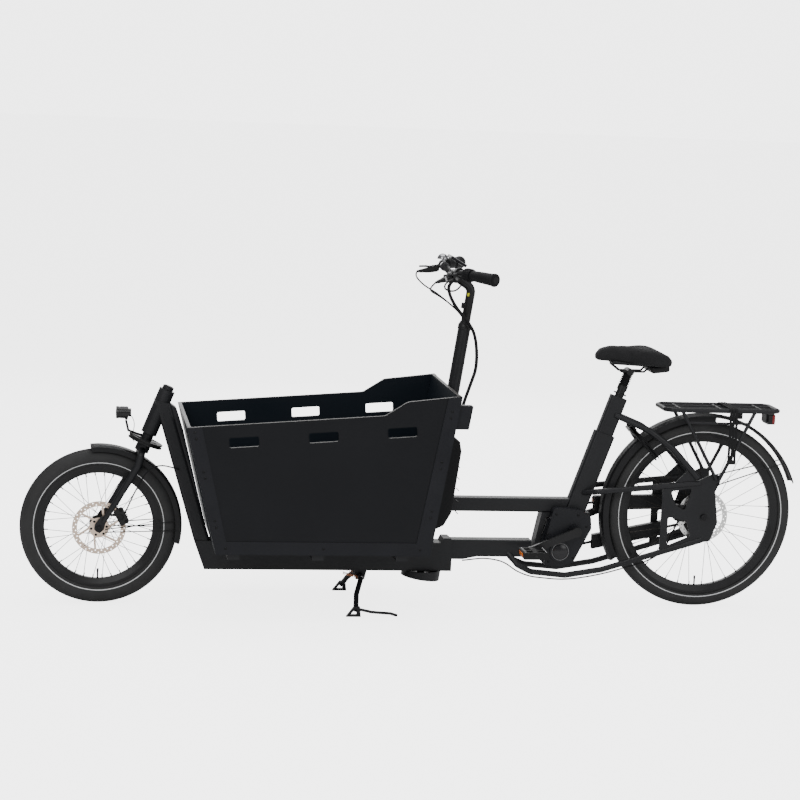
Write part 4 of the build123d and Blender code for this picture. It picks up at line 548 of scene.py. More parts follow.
class CARGO_OT_tyre_marks(bpy.types.Operator):
    """Add the pale stripes of both tyres"""
    bl_idname = "cargo.tyre_marks"
    bl_label = "Tyre marks"

    def execute(self, context):
        settings = context.scene.cargo_wheels
        for name, node, axle, body, radius in (
            ("front_stripe", "front_tyre", FRONT_AXLE, "front_wheel", settings.front_stripe),
            ("rear_stripe", "rear_tyre", REAR_AXLE, "rear_wheel", settings.rear_stripe),
        ):
            low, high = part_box(node)
            half = (high.y - low.y) / 2
            crown = (high.x - low.x) / 2 - half
            shape = bmesh.new()
            for side in (-1, 1):
                profile = []
                for lift in (0.00025, -0.0006):
                    steps = (-1, -0.4, 0.4, 1) if lift > 0 else (1, -1)
                    for step in steps:
                        reach = radius + step * settings.stripe_width / 2
                        out = math.sqrt((half + lift) ** 2 - (reach - crown) ** 2)
                        profile.append((reach, out))
                add_turned(shape, profile, placed(axle, (0, side, 0)), steps=160, closed=True)
            add_piece(name, shape, body, finish("pale_stripe"))
        return {"FINISHED"}


class CARGO_OT_wheel_details(bpy.types.Operator):
    """Add spoke nipples, valves, rotor bolts and hub caps"""
    bl_idname = "cargo.wheel_details"
    bl_label = "Wheel details"

    def execute(self, context):
        settings = context.scene.cargo_wheels
        for word, axle, body, phase in (
            ("front", FRONT_AXLE, "front_wheel", 5.0),
            ("rear", REAR_AXLE, "rear_wheel", 136.0),
        ):
            rim_low, rim_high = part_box(word + "_spokes")
            inner = (rim_high.x - rim_low.x) / 2
            shape = bmesh.new()
            for i in range(SPOKE_COUNT):
                angle = math.radians(phase + 360 / SPOKE_COUNT * i)
                side = 1 if i % 2 else -1
                seat = around(axle, inner + 0.0004, angle, side * 0.0025)
                inward = (axle - seat).normalized()
                profile = [(0.0, settings.nipple), (0.0014, settings.nipple), (0.0019, settings.nipple * 0.85),
                           (0.0021, 0.0), (0.0, 0.0)]
                add_turned(shape, profile, placed(seat, inward), steps=6)
            add_piece(word + "_nipples", shape, body, finish("spoke_black"))
            shape = bmesh.new()
            foot = around(axle, inner + 0.002, math.radians(-90))
            length = settings.valve
            profile = [(0, 0), (0.0042, 0), (0.0042, 0.003), (0.003, 0.0035), (0.003, length * 0.7),
                       (0.0036, length * 0.72), (0.0036, length), (0, length)]
            add_turned(shape, profile, placed(foot, (0, 0, 1)), steps=14)
            sharpen(add_piece(word + "_valve", shape, body, finish("rubber_black")))
            shape = bmesh.new()
            low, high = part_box(word + "_rotor")
            face = low.y
            for i in range(6):
                seat = around(axle, 0.026, math.radians(60 * i + 8), face)
                add_bolt(shape, seat, (0, -1, 0), 0.0042, 0.0022)
            sharpen(add_piece(word + "_rotor_bolts", shape, body, finish("dark_steel")))
            shape = bmesh.new()
            low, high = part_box(word + "_axle")
            for side, face in ((-1, low.y), (1, high.y)):
                profile = [(0.0, 0.0006), (0.0035, 0.0006), (0.0042, 0.0), (0.0042, -0.001), (0, -0.001)]
                add_turned(shape, profile, placed((axle.x, face, axle.z), (0, side, 0)), steps=16)
            rides = "fork" if word == "front" else "frame"
            add_piece(word + "_axle_ends", shape, rides, finish("dark_steel"))
        return {"FINISHED"}


class CARGO_OT_guard_skirts(bpy.types.Operator):
    """Add the deep side walls of both mudguards"""
    bl_idname = "cargo.guard_skirts"
    bl_label = "Mudguard skirts"

    def execute(self, context):
        for name, axle, outer, inner, half, start, end, body in (
            ("front_guard_skirts", FRONT_AXLE, 0.2735, 0.257, 0.0335, -11.5, 96.5, "fork"),
            ("rear_guard_skirts", REAR_AXLE, 0.3505, 0.330, 0.0312, 84.0, 207.5, "frame"),
        ):
            shape = bmesh.new()
            for side in (-1, 1):
                wall = [(outer, half - 0.0005), (outer, half + 0.0011), ((outer + inner) / 2, half + 0.0013),
                        (inner, half + 0.0004), (inner, half - 0.0011), ((outer + inner) / 2, half - 0.0003)]
                verts = [shape.verts.new(around(axle, reach, math.radians(start), side * y)) for reach, y in wall]
                edges = [shape.edges.new(pair) for pair in zip(verts, verts[1:] + verts[:1])]
                face = shape.faces.new(verts)
                bmesh.ops.spin(shape, geom=verts + edges + [face], cent=axle, axis=(0, -1, 0),
                               angle=math.radians(end - start), steps=72)
            bmesh.ops.remove_doubles(shape, verts=shape.verts, dist=1e-6)
            bmesh.ops.recalc_face_normals(shape, faces=shape.faces)
            sharpen(add_piece(name, shape, body, finish("guard_plastic")))
        return {"FINISHED"}


class CARGO_OT_box_screws(bpy.types.Operator):
    """Add the screws along the box's edging, the rib behind the down tube and the capping on top of the box's front
    wall
    """
    bl_idname = "cargo.box_screws"
    bl_label = "Box screws"

    def execute(self, context):
        radius = context.scene.cargo_body.screw_radius
        low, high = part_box("box_left_panel")
        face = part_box("box_trims")[1].y
        foot_front, foot_rear = low.x + 0.105, high.x - 0.087
        shape = bmesh.new()
        for side in (-1, 1):
            for share in (0.07, 0.42, 0.86):
                z = high.z - 0.12 - share * (high.z - 0.12 - low.z - 0.05)
                lean = (z - low.z) / 0.421
                x = foot_front - 0.105 * lean + 0.022
                for step in (-0.011, 0.011):
                    add_bolt(shape, (x - step * 0.24, side * face, z + step), (0, side, 0), radius, 0.0018)
            for share in (0.07, 0.44, 0.8):
                z = high.z - 0.03 - share * (high.z - 0.03 - low.z - 0.05)
                lean = (z - low.z) / (high.z - low.z)
                x = foot_rear + 0.087 * lean - 0.022
                for step in (-0.011, 0.011):
                    add_bolt(shape, (x + step * 0.16, side * face, z + step), (0, side, 0), radius, 0.0018)
            for share in (0.045, 0.5, 0.955):
                x = foot_front + (foot_rear - foot_front) * share
                add_bolt(shape, (x, side * face, low.z + 0.021), (0, side, 0), radius, 0.0018)
        sharpen(add_piece("box_screws", shape, "frame", finish("dark_steel")))
        self.tube_rib()
        shape = bmesh.new()
        wall_low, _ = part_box("box_end_panels")
        start = Vector((wall_low.x + 0.0065, 0, 0.649))
        add_block(shape, (0.0125, 0.538, 0.0012), placed(start + Vector((0, 0, 0.0004)), (0, 0, 1)), 0.0004)
        add_piece("box_front_capping", shape, "frame", finish("grey_plastic"))
        return {"FINISHED"}


    def tube_rib(self):
        """The pressed rib behind the front down tube."""
        shape = bmesh.new()
        outline = [(0.2285, 0.689), (0.251, 0.673), (0.2755, 0.6), (0.352, 0.3), (0.344, 0.3)]
        corners = [shape.verts.new((FRONT_AXLE.x + x, -0.025, z)) for x, z in outline]
        face = shape.faces.new(corners)
        grown = bmesh.ops.extrude_face_region(shape, geom=[face])["geom"]
        moved = [part for part in grown if isinstance(part, bmesh.types.BMVert)]
        bmesh.ops.translate(shape, vec=(0, 0.05, 0), verts=moved)
        bmesh.ops.recalc_face_normals(shape, faces=shape.faces)
        bmesh.ops.bevel(shape, geom=shape.edges[:], offset=0.004, segments=3, profile=0.5, affect="EDGES",
                        material=-1)
        sharpen(add_piece("down_tube_rib", shape, "frame", finish("frame_paint")))


class CARGO_OT_callipers(bpy.types.Operator):
    """Add the bolts, piston caps, cooling fins and hose fittings of both callipers"""
    bl_idname = "cargo.callipers"
    bl_label = "Callipers"

    def execute(self, context):
        for name, axle, angle, face, body in (
            ("front_calliper_parts", FRONT_AXLE, 28.0, -0.049, "fork"),
            ("rear_calliper_parts", REAR_AXLE, 172.0, -0.06, "frame"),
        ):
            turn = math.radians(angle)
            out = Vector((math.cos(turn), 0, math.sin(turn)))
            along = Vector((-math.sin(turn), 0, math.cos(turn)))
            middle = Vector((axle.x, face, axle.z)) + out * 0.084
            shape = bmesh.new()
            for step in (-1, 1):
                add_bolt(shape, middle + along * step * 0.021 + out * 0.007, (0, -1, 0), 0.0048, 0.0035)
            cap = [(0.0, 0.0022), (0.0085, 0.0022), (0.0095, 0.0012), (0.011, 0.0012), (0.0115, 0.0), (0.0, 0.0)]
            add_turned(shape, cap, placed(middle - out * 0.003, (0, -1, 0)), steps=28)
            for fin in range(4):
                seat = middle + along * (0.006 * fin - 0.009) + out * 0.0185 + Vector((0, 0.008, 0))
                add_block(shape, (0.005, 0.0018, 0.012), placed(seat, (0, 1, 0), out), 0.0005, 1)
            joint = middle + along * 0.028 + Vector((0, 0.006, 0))
            add_turned(shape, [(0.0, 0.008), (0.0032, 0.007), (0.004, 0.0), (0.0055, -0.001), (0.0055, -0.005)],
                       placed(joint, along), steps=16)
            sharpen(add_piece(name, shape, body, finish("dark_steel")))
        return {"FINISHED"}


class CARGO_OT_saddle(bpy.types.Operator):
    """Make the padded saddle with its seam and base shell"""
    bl_idname = "cargo.saddle"
    bl_label = "Saddle"

    def execute(self, context):
        source = frame["nodes"]["saddle"]
        shape = bmesh.new()
        shape.from_mesh(source.data)
        bmesh.ops.remove_doubles(shape, verts=shape.verts, dist=1e-5)
        pad = add_piece("saddle_pad", shape, None, finish("saddle_fabric"))
        low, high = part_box("saddle")
        middle = (low + high) / 2
        remesh = pad.modifiers.new("Remesh", "REMESH")
        remesh.mode = "VOXEL"
        remesh.voxel_size = 0.0045
        soften = pad.modifiers.new("Soften", "SMOOTH")
        soften.iterations = 9
        soften.factor = 0.6
        self.apply(pad)
        shape = bmesh.new()
        shape.from_mesh(pad.data)
        for vert in shape.verts:
            vert.co = middle + (vert.co - middle) * 0.985
        shape.to_mesh(pad.data)
        shape.free()
        self.inflate(pad)
        shape = bmesh.new()
        shape.from_mesh(pad.data)
        nose, tail = low.x, high.x
        for vert in shape.verts:
            share = (vert.co.x - nose) / (tail - nose)
            if vert.co.z < middle.z - 0.004 * (1 - share) - 0.012:
                vert.co.z += (middle.z - 0.016 - vert.co.z) * 0.35
            groove = math.exp(-(vert.co.y / 0.011) ** 2) * max(0.0, min(1.0, (share - 0.12) / 0.2))
            if vert.co.z > middle.z:
                vert.co.z -= 0.0035 * groove * (1 - share * 0.5)
            block = math.exp(-((share - 0.87) / 0.02) ** 2)
            if vert.co.z > middle.z:
                vert.co.z -= 0.0025 * block
            vert.co.x = min(max(vert.co.x, low.x), high.x)
            vert.co.z = min(max(vert.co.z, low.z), high.z)
            vert.co.y = min(max(vert.co.y, low.y), high.y)
        bmesh.ops.smooth_vert(shape, verts=shape.verts, factor=0.4, use_axis_x=True, use_axis_y=True,
                              use_axis_z=True)
        shape.to_mesh(pad.data)
        shape.free()
        refine = pad.modifiers.new("Refine", "SUBSURF")
        refine.levels = refine.render_levels = 1
        self.apply(pad)
        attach(pad, "saddle")
        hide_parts("saddle")
        shape = bmesh.new()
        for side in (-1, 1):
            for step in range(5):
                share = 0.35 + 0.12 * step
                spot = Vector((nose + (tail - nose) * share, side * 0.016, low.z + 0.012))
                add_bolt(shape, spot, (0, 0, -1), 0.003, 0.002)
        add_piece("saddle_rivets", shape, "saddle", finish("dark_steel"))
        shape = bmesh.new()
        length = tail - nose
        rear = Vector((nose + length * 0.84, 0, low.z - 0.004))
        add_block(shape, (0.066, 0.12, 0.026), placed(rear, (-0.12, 0, 1)), 0.009, 3)
        spine = Vector((nose + length * 0.5, 0, low.z + 0.009))
        add_block(shape, (0.15, 0.07, 0.012), placed(spine, (0.05, 0, 1)), 0.005, 2)
        add_piece("saddle_base", shape, "saddle", finish("guard_plastic"))
        return {"FINISHED"}

    def apply(self, piece):
        """Turn the piece's modifiers into its mesh."""
        bpy.context.view_layer.update()
        graph = bpy.context.evaluated_depsgraph_get()
        mesh = bpy.data.meshes.new_from_object(piece.evaluated_get(graph))
        piece.modifiers.clear()
        piece.data = mesh
        mesh.shade_smooth()

    def inflate(self, piece):
        """Let a cloth simulation round the pad a little, then cap how far each point moved."""
        rest = [vert.co.copy() for vert in piece.data.vertices]
        cloth = piece.modifiers.new("Cloth", "CLOTH")
        cloth.settings.use_pressure = True
        cloth.settings.uniform_pressure_force = 3.0
        cloth.settings.effector_weights.gravity = 0.0
        cloth.settings.quality = 4
        scene = bpy.context.scene
        for step in range(1, 13):
            scene.frame_set(step)
        self.apply(piece)
        scene.frame_set(1)
        for vert, start in zip(piece.data.vertices, rest):
            move = vert.co - start
            if move.length > 0.005:
                vert.co = start + move * (0.005 / move.length)


class CARGO_OT_seat_details(bpy.types.Operator):
    """Add the seat post's bellows and the collar"""
    bl_idname = "cargo.seat_details"
    bl_label = "Seat details"

    def execute(self, context):
        lean = AXIS["seatpost_height"]
        _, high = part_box("seatpost")
        top = SEAT_FOOT + lean * ((high.z - 0.006 - SEAT_FOOT.z) / lean.z)
        height = 0.05
        rings = 8
        profile = [(0.0118, 0.0)]
        for ring in range(rings):
            base = height * ring / rings
            profile += [(0.0165, base + height * 0.2 / rings), (0.0195, base + height * 0.5 / rings),
                        (0.0165, base + height * 0.8 / rings), (0.0135, base + height * 0.98 / rings)]
        profile += [(0.0118, height)]
        shape = bmesh.new()
        add_turned(shape, profile, placed(top, lean), steps=36)
        bellows = add_piece("seatpost_bellows", shape, "seatpost", finish("rubber_black"))
        solid = bellows.modifiers.new("Wall", "SOLIDIFY")
        solid.thickness = 0.0008
        solid.offset = -1
        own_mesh(bellows)
        top_of_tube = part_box("seat_tube")[1].z
        seat = SEAT_FOOT + lean * ((top_of_tube - SEAT_FOOT.z) / lean.z)
        shape = bmesh.new()
        profile = [(0.0192, 0.0), (0.0232, 0.0), (0.0232, 0.0035), (0.0222, 0.0045), (0.0192, 0.0045)]
        add_turned(shape, profile, placed(seat, lean), steps=40, closed=True)
        sharpen(add_piece("seat_clamp", shape, "frame", finish("aluminium_black")))
        return {"FINISHED"}


class CARGO_OT_lamps(bpy.types.Operator):
    """Add the headlamp's bezel, lens and fins, and the tail lamp's lens"""
    bl_idname = "cargo.lamps"
    bl_label = "Lamps"

    def execute(self, context):
        low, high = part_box("headlamp")
        middle = Vector(((low.x + high.x) / 2, 0, high.z - 0.02))
        front = Vector((low.x, 0, middle.z))
        shape = bmesh.new()
        profile = [(0.0165, 0.0), (0.0198, -0.0005), (0.0208, 0.003), (0.0208, 0.008), (0.02, 0.009)]
        add_turned(shape, profile, placed(front, (1, 0, 0)), steps=48)
        for fin in range(5):
            place = Vector((front.x + 0.016 + 0.0045 * fin, 0, middle.z))
            profile = [(0.0195, -0.0009), (0.0212, -0.0009), (0.0212, 0.0009), (0.0195, 0.0009)]
            add_turned(shape, profile, placed(place, (1, 0, 0)), steps=40, closed=True)
        sharpen(add_piece("headlamp_shell", shape, "headlamp", finish("lamp_plastic")))
        shape = bmesh.new()
        profile = [(0.0, 0.0016), (0.007, 0.0013), (0.0125, 0.0006), (0.0163, -0.0004)]
        add_turned(shape, profile, placed(front + Vector((-0.0002, 0, 0)), (-1, 0, 0)), steps=40)
        add_piece("headlamp_lens", shape, "headlamp", finish("lamp_lens"))
        shape = bmesh.new()
        low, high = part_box("tail_lamp")
        back = Vector((high.x, 0, (low.z + high.z) / 2))
        add_block(shape, (0.029, 0.0735, 0.011), placed(back + Vector((-0.0045, 0, 0.001)), (1, 0, 0), (0, 0, 1)),
                  0.0025, 3)
        add_piece("tail_lens", shape, "frame", finish("red_lens"))
        return {"FINISHED"}


class CARGO_OT_cockpit(bpy.types.Operator):
    """Add grip ribs, shifter ridges, the display's screen, bolts and the yellow mark"""
    bl_idname = "cargo.cockpit"
    bl_label = "Cockpit"

    def execute(self, context):
        twist = AXIS["shift_twist"]
        start = PLACE["shift_twist"]
        for side, word in ((-1, "left"), (1, "right")):
            along = Vector((twist.x, -side * twist.y, twist.z))
            seat = Vector((start.x, -side * start.y, start.z))
            shape = bmesh.new()
            first = 0.034 if side < 0 else 0.004
            last = 0.1455
            reach = last - first
            profile = [(0.0166, 0.0), (0.0182, 0.0015), (0.0184, 0.005), (0.0172, 0.009)]
            for step in range(1, 12):
                share = step / 12
                swell = 0.0172 + 0.0016 * math.sin(math.pi * share) + 0.0046 * share ** 4
                height = 0.009 + (reach - 0.012) * share
                profile += [(swell, height - 0.002), (swell + 0.0006, height), (swell, height + 0.002)]
            profile += [(0.0226, reach - 0.004), (0.0222, reach - 0.001), (0.0205, reach), (0.0, reach + 0.0008)]
            add_turned(shape, profile, placed(seat + along * first, along), steps=40)
            add_piece(word + "_grip_ribs", shape, "handlebar", finish("rubber_black"))
        shape = bmesh.new()
        for ridge in range(20):
            turn = Matrix.Rotation(math.tau * ridge / 20, 4, "Z")
            base = placed(start + twist * 0.016, twist)
            add_block(shape, (0.0022, 0.0026, 0.024), base @ turn @ Matrix.Translation((0.0213, 0, 0)), 0.0007)
        add_piece("shifter_ridges", shape, "twist_shifter", finish("rubber_black"))
        low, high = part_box("display")
        tilt = Vector((math.sin(math.radians(30)), 0, math.cos(math.radians(30))))
        down = Vector((math.cos(math.radians(30)), 0, -math.sin(math.radians(30))))
        case = Vector(((low.x + high.x) / 2 + 0.0004, -0.04, high.z - 0.0199))
        shape = bmesh.new()
        add_block(shape, (0.0625, 0.0785, 0.002), placed(case + tilt * 0.0042, tilt, down), 0.0008)
        add_piece("display_frame", shape, "handlebar", finish("grey_plastic"))
        shape = bmesh.new()
        add_block(shape, (0.053, 0.068, 0.0012), placed(case + tilt * 0.0056, tilt, down), 0.0004)
        add_piece("display_screen", shape, "handlebar", finish("screen_glass"))
        low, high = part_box("stem")
        clamp = Vector((low.x + 0.022, 0, high.z - 0.022))
        shape = bmesh.new()
        for side in (-1, 1):
            for lift in (-1, 1):
                add_bolt(shape, clamp + Vector((-0.0205, side * 0.018, lift * 0.0075)), (-1, 0, 0), 0.0035, 0.003)
        _, column_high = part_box("steering_column")
        lean = AXIS["column_steer"]
        top = Vector((column_high.x - 0.0215, 0, column_high.z - 0.003))
        profile = [(0.0163, 0.012), (0.0176, 0.012), (0.0205, 0.004), (0.0226, 0.001), (0.0228, -0.014),
                   (0.0218, -0.016)]
        add_turned(shape, profile, placed(top, lean), steps=40)
        add_bolt(shape, top + Vector((0.002, -0.0225, -0.007)), (0, -1, 0), 0.0036, 0.0022)
        bolts = add_piece("column_clamp", shape, "column", finish("aluminium_black"))
        sharpen(bolts)
        shape = bmesh.new()
        spot = Vector((0.1504, -0.0133, 1.0815))
        add_block(shape, (0.011, 0.0075, 0.0012), placed(spot, (-0.57, -0.82, 0), (0.13, 0, 1)), 0.0005)
        add_piece("stem_mark", shape, "handlebar", finish("yellow_mark"))
        shape = bmesh.new()
        lug = Vector((0.137, -0.004, 1.043))
        add_block(shape, (0.014, 0.018, 0.02), placed(lug, lean), 0.003, 3)
        add_bolt(shape, lug + Vector((0, -0.009, 0)), (0, -1, 0), 0.0042, 0.003)
        sharpen(add_piece("stem_lug", shape, "handlebar", finish("aluminium_black")))
        return {"FINISHED"}


class CARGO_OT_cables(bpy.types.Operator):
    """Lay the cable bundle, the brake hoses and the lamp wire"""
    bl_idname = "cargo.cables"
    bl_label = "Cables"

    def execute(self, context):
        rubber = finish("rubber_black")
        upper = [(0.0933, -0.054, 1.136), (0.0713, -0.054, 1.119), (0.0793, -0.048, 1.082), (0.1043, -0.042, 1.040),
                 (0.1413, -0.038, 1.000), (0.1790, -0.033, 0.948), (0.1840, -0.0325, 0.894)]
        lower = [(0.1840, -0.0325, 0.894), (0.1890, -0.032, 0.840), (0.1673, -0.040, 0.778), (0.1473, -0.048, 0.722),
                 (0.1313, -0.056, 0.668), (0.1153, -0.064, 0.636), (0.1023, -0.070, 0.6104)]
        top = tube("upper_bundle", upper, BUNDLE_R, None, rubber, 10)
        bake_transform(top)
        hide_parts("bar_cables")
        foot = tube("lower_bundle", lower, BUNDLE_R, None, rubber, 10)
        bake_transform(foot)
        hose = [(-0.8177, -0.033, 0.466), (-0.8457, -0.044, 0.476), (-0.8777, -0.056, 0.484),
                (-0.9097, -0.066, 0.478), (-0.9337, -0.070, 0.456), (-0.9497, -0.068, 0.424),
                (-0.9697, -0.064, 0.384), (-0.9847, -0.057, 0.346), (-0.9967, -0.052, 0.316)]
        brake = tube("front_brake_line", hose, BRAKE_HOSE_R, None, rubber, 8)
        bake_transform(brake)
        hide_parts("fork_cables")
        shared = [(0.0629, 0.078, 1.071), (0.0903, 0.03, 1.0483), (0.1134, -0.01, 1.0275), (0.1309, -0.03, 1.0072),
                  (0.142, -0.037, 0.991)]
        right = [(0.0045, 0.199, 1.1375), (-0.0006, 0.205, 1.126), (0.0088, 0.19, 1.109), (0.0265, 0.15, 1.092),
                 (0.05, 0.11, 1.0793)] + shared
        left = [(0.0045, -0.199, 1.1375), (-0.006, -0.19, 1.126), (-0.004, -0.14, 1.108), (0.016, -0.07, 1.092),
                (0.044, -0.02, 1.078), (0.076, -0.012, 1.058), (0.106, -0.03, 1.034), (0.128, -0.044, 1.008),
                (0.139, -0.045, 0.991)]
        gear = [(0.088, -0.047, 1.134), (0.064, -0.052, 1.126), (0.0575, -0.058, 1.103), (0.0861, -0.052, 1.0945),
                (0.1076, -0.042, 1.1), (0.121, -0.022, 1.112)]
        for word, route, radius in (("right", right, 0.0027), ("left", left, 0.0027), ("gear", gear, 0.003)):
            tube(word + "_bar_line", route, radius, "handlebar", rubber, 8)
        shape = bmesh.new()
        for side in (-1, 1):
            root = Vector((0.067, side * 0.146, 1.153))
            nose = Vector((0.0045, side * 0.199, 1.1375))
            run = nose - root
            length = run.length
            profile = [(0.0, -0.004), (0.0075, -0.003), (0.0098, 0.004), (0.0102, 0.03), (0.0088, 0.048),
                       (0.0072, 0.056), (0.0062, length - 0.012), (0.0048, length - 0.01), (0.0042, length),
                       (0.0, length)]
            add_turned(shape, profile, placed(root, run), steps=24)
            add_block(shape, (0.03, 0.02, 0.014), placed(root + run * 0.25 + Vector((0, 0, 0.006)), (0, 0, 1), run),
                      0.004, 3)
            add_turned(shape, [(0.0135, -0.006), (0.0152, -0.005), (0.0152, 0.005), (0.0135, 0.006)],
                       placed(Vector((0.0905, side * 0.155, 1.1645)), (0.0, side, 0.138)), steps=28, closed=True)
            add_bolt(shape, root + run * 0.16 + Vector((0, 0, 0.013)), (0, 0, 1), 0.0038, 0.0024)
            add_bolt(shape, root + run * 0.36 + Vector((0, 0, 0.013)), (0, 0, 1), 0.0038, 0.0024)
        sharpen(add_piece("brake_bodies", shape, "handlebar", finish("aluminium_black")), 40)
        _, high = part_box("headlamp")
        wire = [(high.x - 0.004, 0, high.z - 0.026), (high.x + 0.01, -0.004, high.z - 0.04),
                (high.x + 0.012, -0.01, high.z - 0.075), (high.x - 0.002, -0.012, high.z - 0.1),
                (high.x + 0.012, -0.008, high.z - 0.118)]
        tube("headlamp_wire", wire, 0.0013, "fork", rubber, 8)
        return {"FINISHED"}


class CARGO_OT_drive(bpy.types.Operator):
    """Add chain links, ring teeth, the motor's dial and screws, and the pedals' reflectors"""
    bl_idname = "cargo.drive"
    bl_label = "Drive"

    def execute(self, context):
        settings = context.scene.cargo_wheels
        low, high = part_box("motor")
        shape = bmesh.new()
        dial = Vector((low.x + 0.0693, low.y + 0.004, 0.201))
        profile = [(0.0, 0.0007), (0.0255, 0.0007), (0.0262, 0.0), (0.0262, -0.001)]
        add_turned(shape, profile, placed(dial, (0, -1, 0)), steps=48)
        add_piece("motor_dial", shape, "frame", finish("display_plastic"))
        shape = bmesh.new()
        profile = [(0.0285, 0.0), (0.0285, 0.0009), (0.0301, 0.0009), (0.0301, 0.0)]
        add_turned(shape, profile, placed(dial, (0, -1, 0)), steps=64, closed=True)
        add_piece("motor_dial_ring", shape, "frame", finish("grey_plastic"))
        shape = bmesh.new()
        for dx, dz in ((0.022, 0.262), (0.05, 0.332), (0.128, 0.33), (0.158, 0.29), (0.116, 0.178), (0.03, 0.166)):
            add_bolt(shape, (low.x + dx, low.y + 0.008, dz), (0, -1, 0), 0.0042, 0.0022)
        sharpen(add_piece("motor_screws", shape, "frame", finish("dark_steel")))
        chain_low, chain_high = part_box("chain")
        y = (chain_low.y + chain_high.y) / 2
        pitch = 0.0127
        for name, axle, teeth, body in (("chainring_teeth", CRANK, settings.teeth_front, "crank"),
                                        ("sprocket_teeth", REAR_AXLE, settings.teeth_rear, "sprocket")):
            radius = pitch / (2 * math.sin(math.pi / teeth))
            shape = bmesh.new()
            for tooth in range(teeth):
                angle = math.tau * (tooth + 0.5) / teeth
                seat = around(axle, radius - 0.0005, angle, y)
                outward = (seat - Vector((axle.x, y, axle.z))).normalized()
                add_block(shape, (0.0046, 0.002, 0.006), placed(seat, outward, outward.cross(SIDEWAYS)), 0.0008, 1)
            add_piece(name, shape, body, finish("dark_steel"))
        self.links(y, pitch, settings)
        for word in ("left", "right"):
            low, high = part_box("pedal_" + word)
            middle = (low + high) / 2
            shape = bmesh.new()
            for end in (-1, 1):
                seat = Vector((low.x if end < 0 else high.x, middle.y, middle.z))
                add_block(shape, (0.013, 0.062, 0.0016), placed(seat + Vector((end * 0.0002, 0, 0)), (end, 0, 0),
                                                                (0, 0, 1)), 0.0006)
            add_piece(word + "_pedal_reflectors", shape, "pedal_" + word, finish("amber_reflector"))
            shape = bmesh.new()
            for row in range(5):
                for face in (-1, 1):
                    for end in (-1, 1):
                        seat = Vector((middle.x + end * 0.036, low.y + 0.012 + 0.017 * row, middle.z + face * 0.012))
                        profile = [(0.0022, 0), (0.0022, 0.001), (0.0012, 0.0018), (0, 0.0018)]
                        add_turned(shape, profile, placed(seat, (0, 0, face)), steps=6)
            add_piece(word + "_pedal_pins", shape, "pedal_" + word, finish("bare_steel"))
        return {"FINISHED"}

    def links(self, y, pitch, settings):
        """Chain links along the two runs and round both rings."""
        big = pitch / (2 * math.sin(math.pi / settings.teeth_front))
        small = pitch / (2 * math.sin(math.pi / settings.teeth_rear))
        span = math.hypot(REAR_AXLE.x - CRANK.x, REAR_AXLE.z - CRANK.z)
        lean = math.atan2(REAR_AXLE.z - CRANK.z, REAR_AXLE.x - CRANK.x)
        open_angle = math.acos((big - small) / span)
        spots = []
        count = round((span * math.sin(open_angle)) / pitch)
        for turn in (1, -1):
            angle = lean + turn * open_angle
            first, last = around(CRANK, big, angle, y), around(REAR_AXLE, small, angle, y)
            spots += [first.lerp(last, (i + 0.5) / count) for i in range(count)]
        for axle, radius, teeth, start, sweep in (
            (CRANK, big, settings.teeth_front, lean + open_angle, math.tau - 2 * open_angle),
            (REAR_AXLE, small, settings.teeth_rear, lean - open_angle, 2 * open_angle),
        ):
            number = max(2, round(teeth * sweep / math.tau))
            spots += [around(axle, radius, start + sweep * (i + 0.5) / number, y) for i in range(number)]
        shape = bmesh.new()
        for index, spot in enumerate(spots):
            nearest = min((p for p in spots if p is not spot), key=lambda p: (p - spot).length)
            run = (nearest - spot).normalized()
            inset = 0.0038 if index % 2 else 0.0026
            for side in (-1, 1):
                place = placed(spot + SIDEWAYS * side * inset, SIDEWAYS, run)
                add_block(shape, (0.0145, 0.0078, 0.0009), place, 0.0022, 1)
            profile = [(0.0, -0.004), (0.0021, -0.004), (0.0021, 0.004), (0.0, 0.004)]
            add_turned(shape, profile, placed(spot + run * pitch / 2, SIDEWAYS), steps=6)
        chain = add_piece("chain_links", shape, "frame", finish("dark_steel"), smooth=False)
        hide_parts("chain")


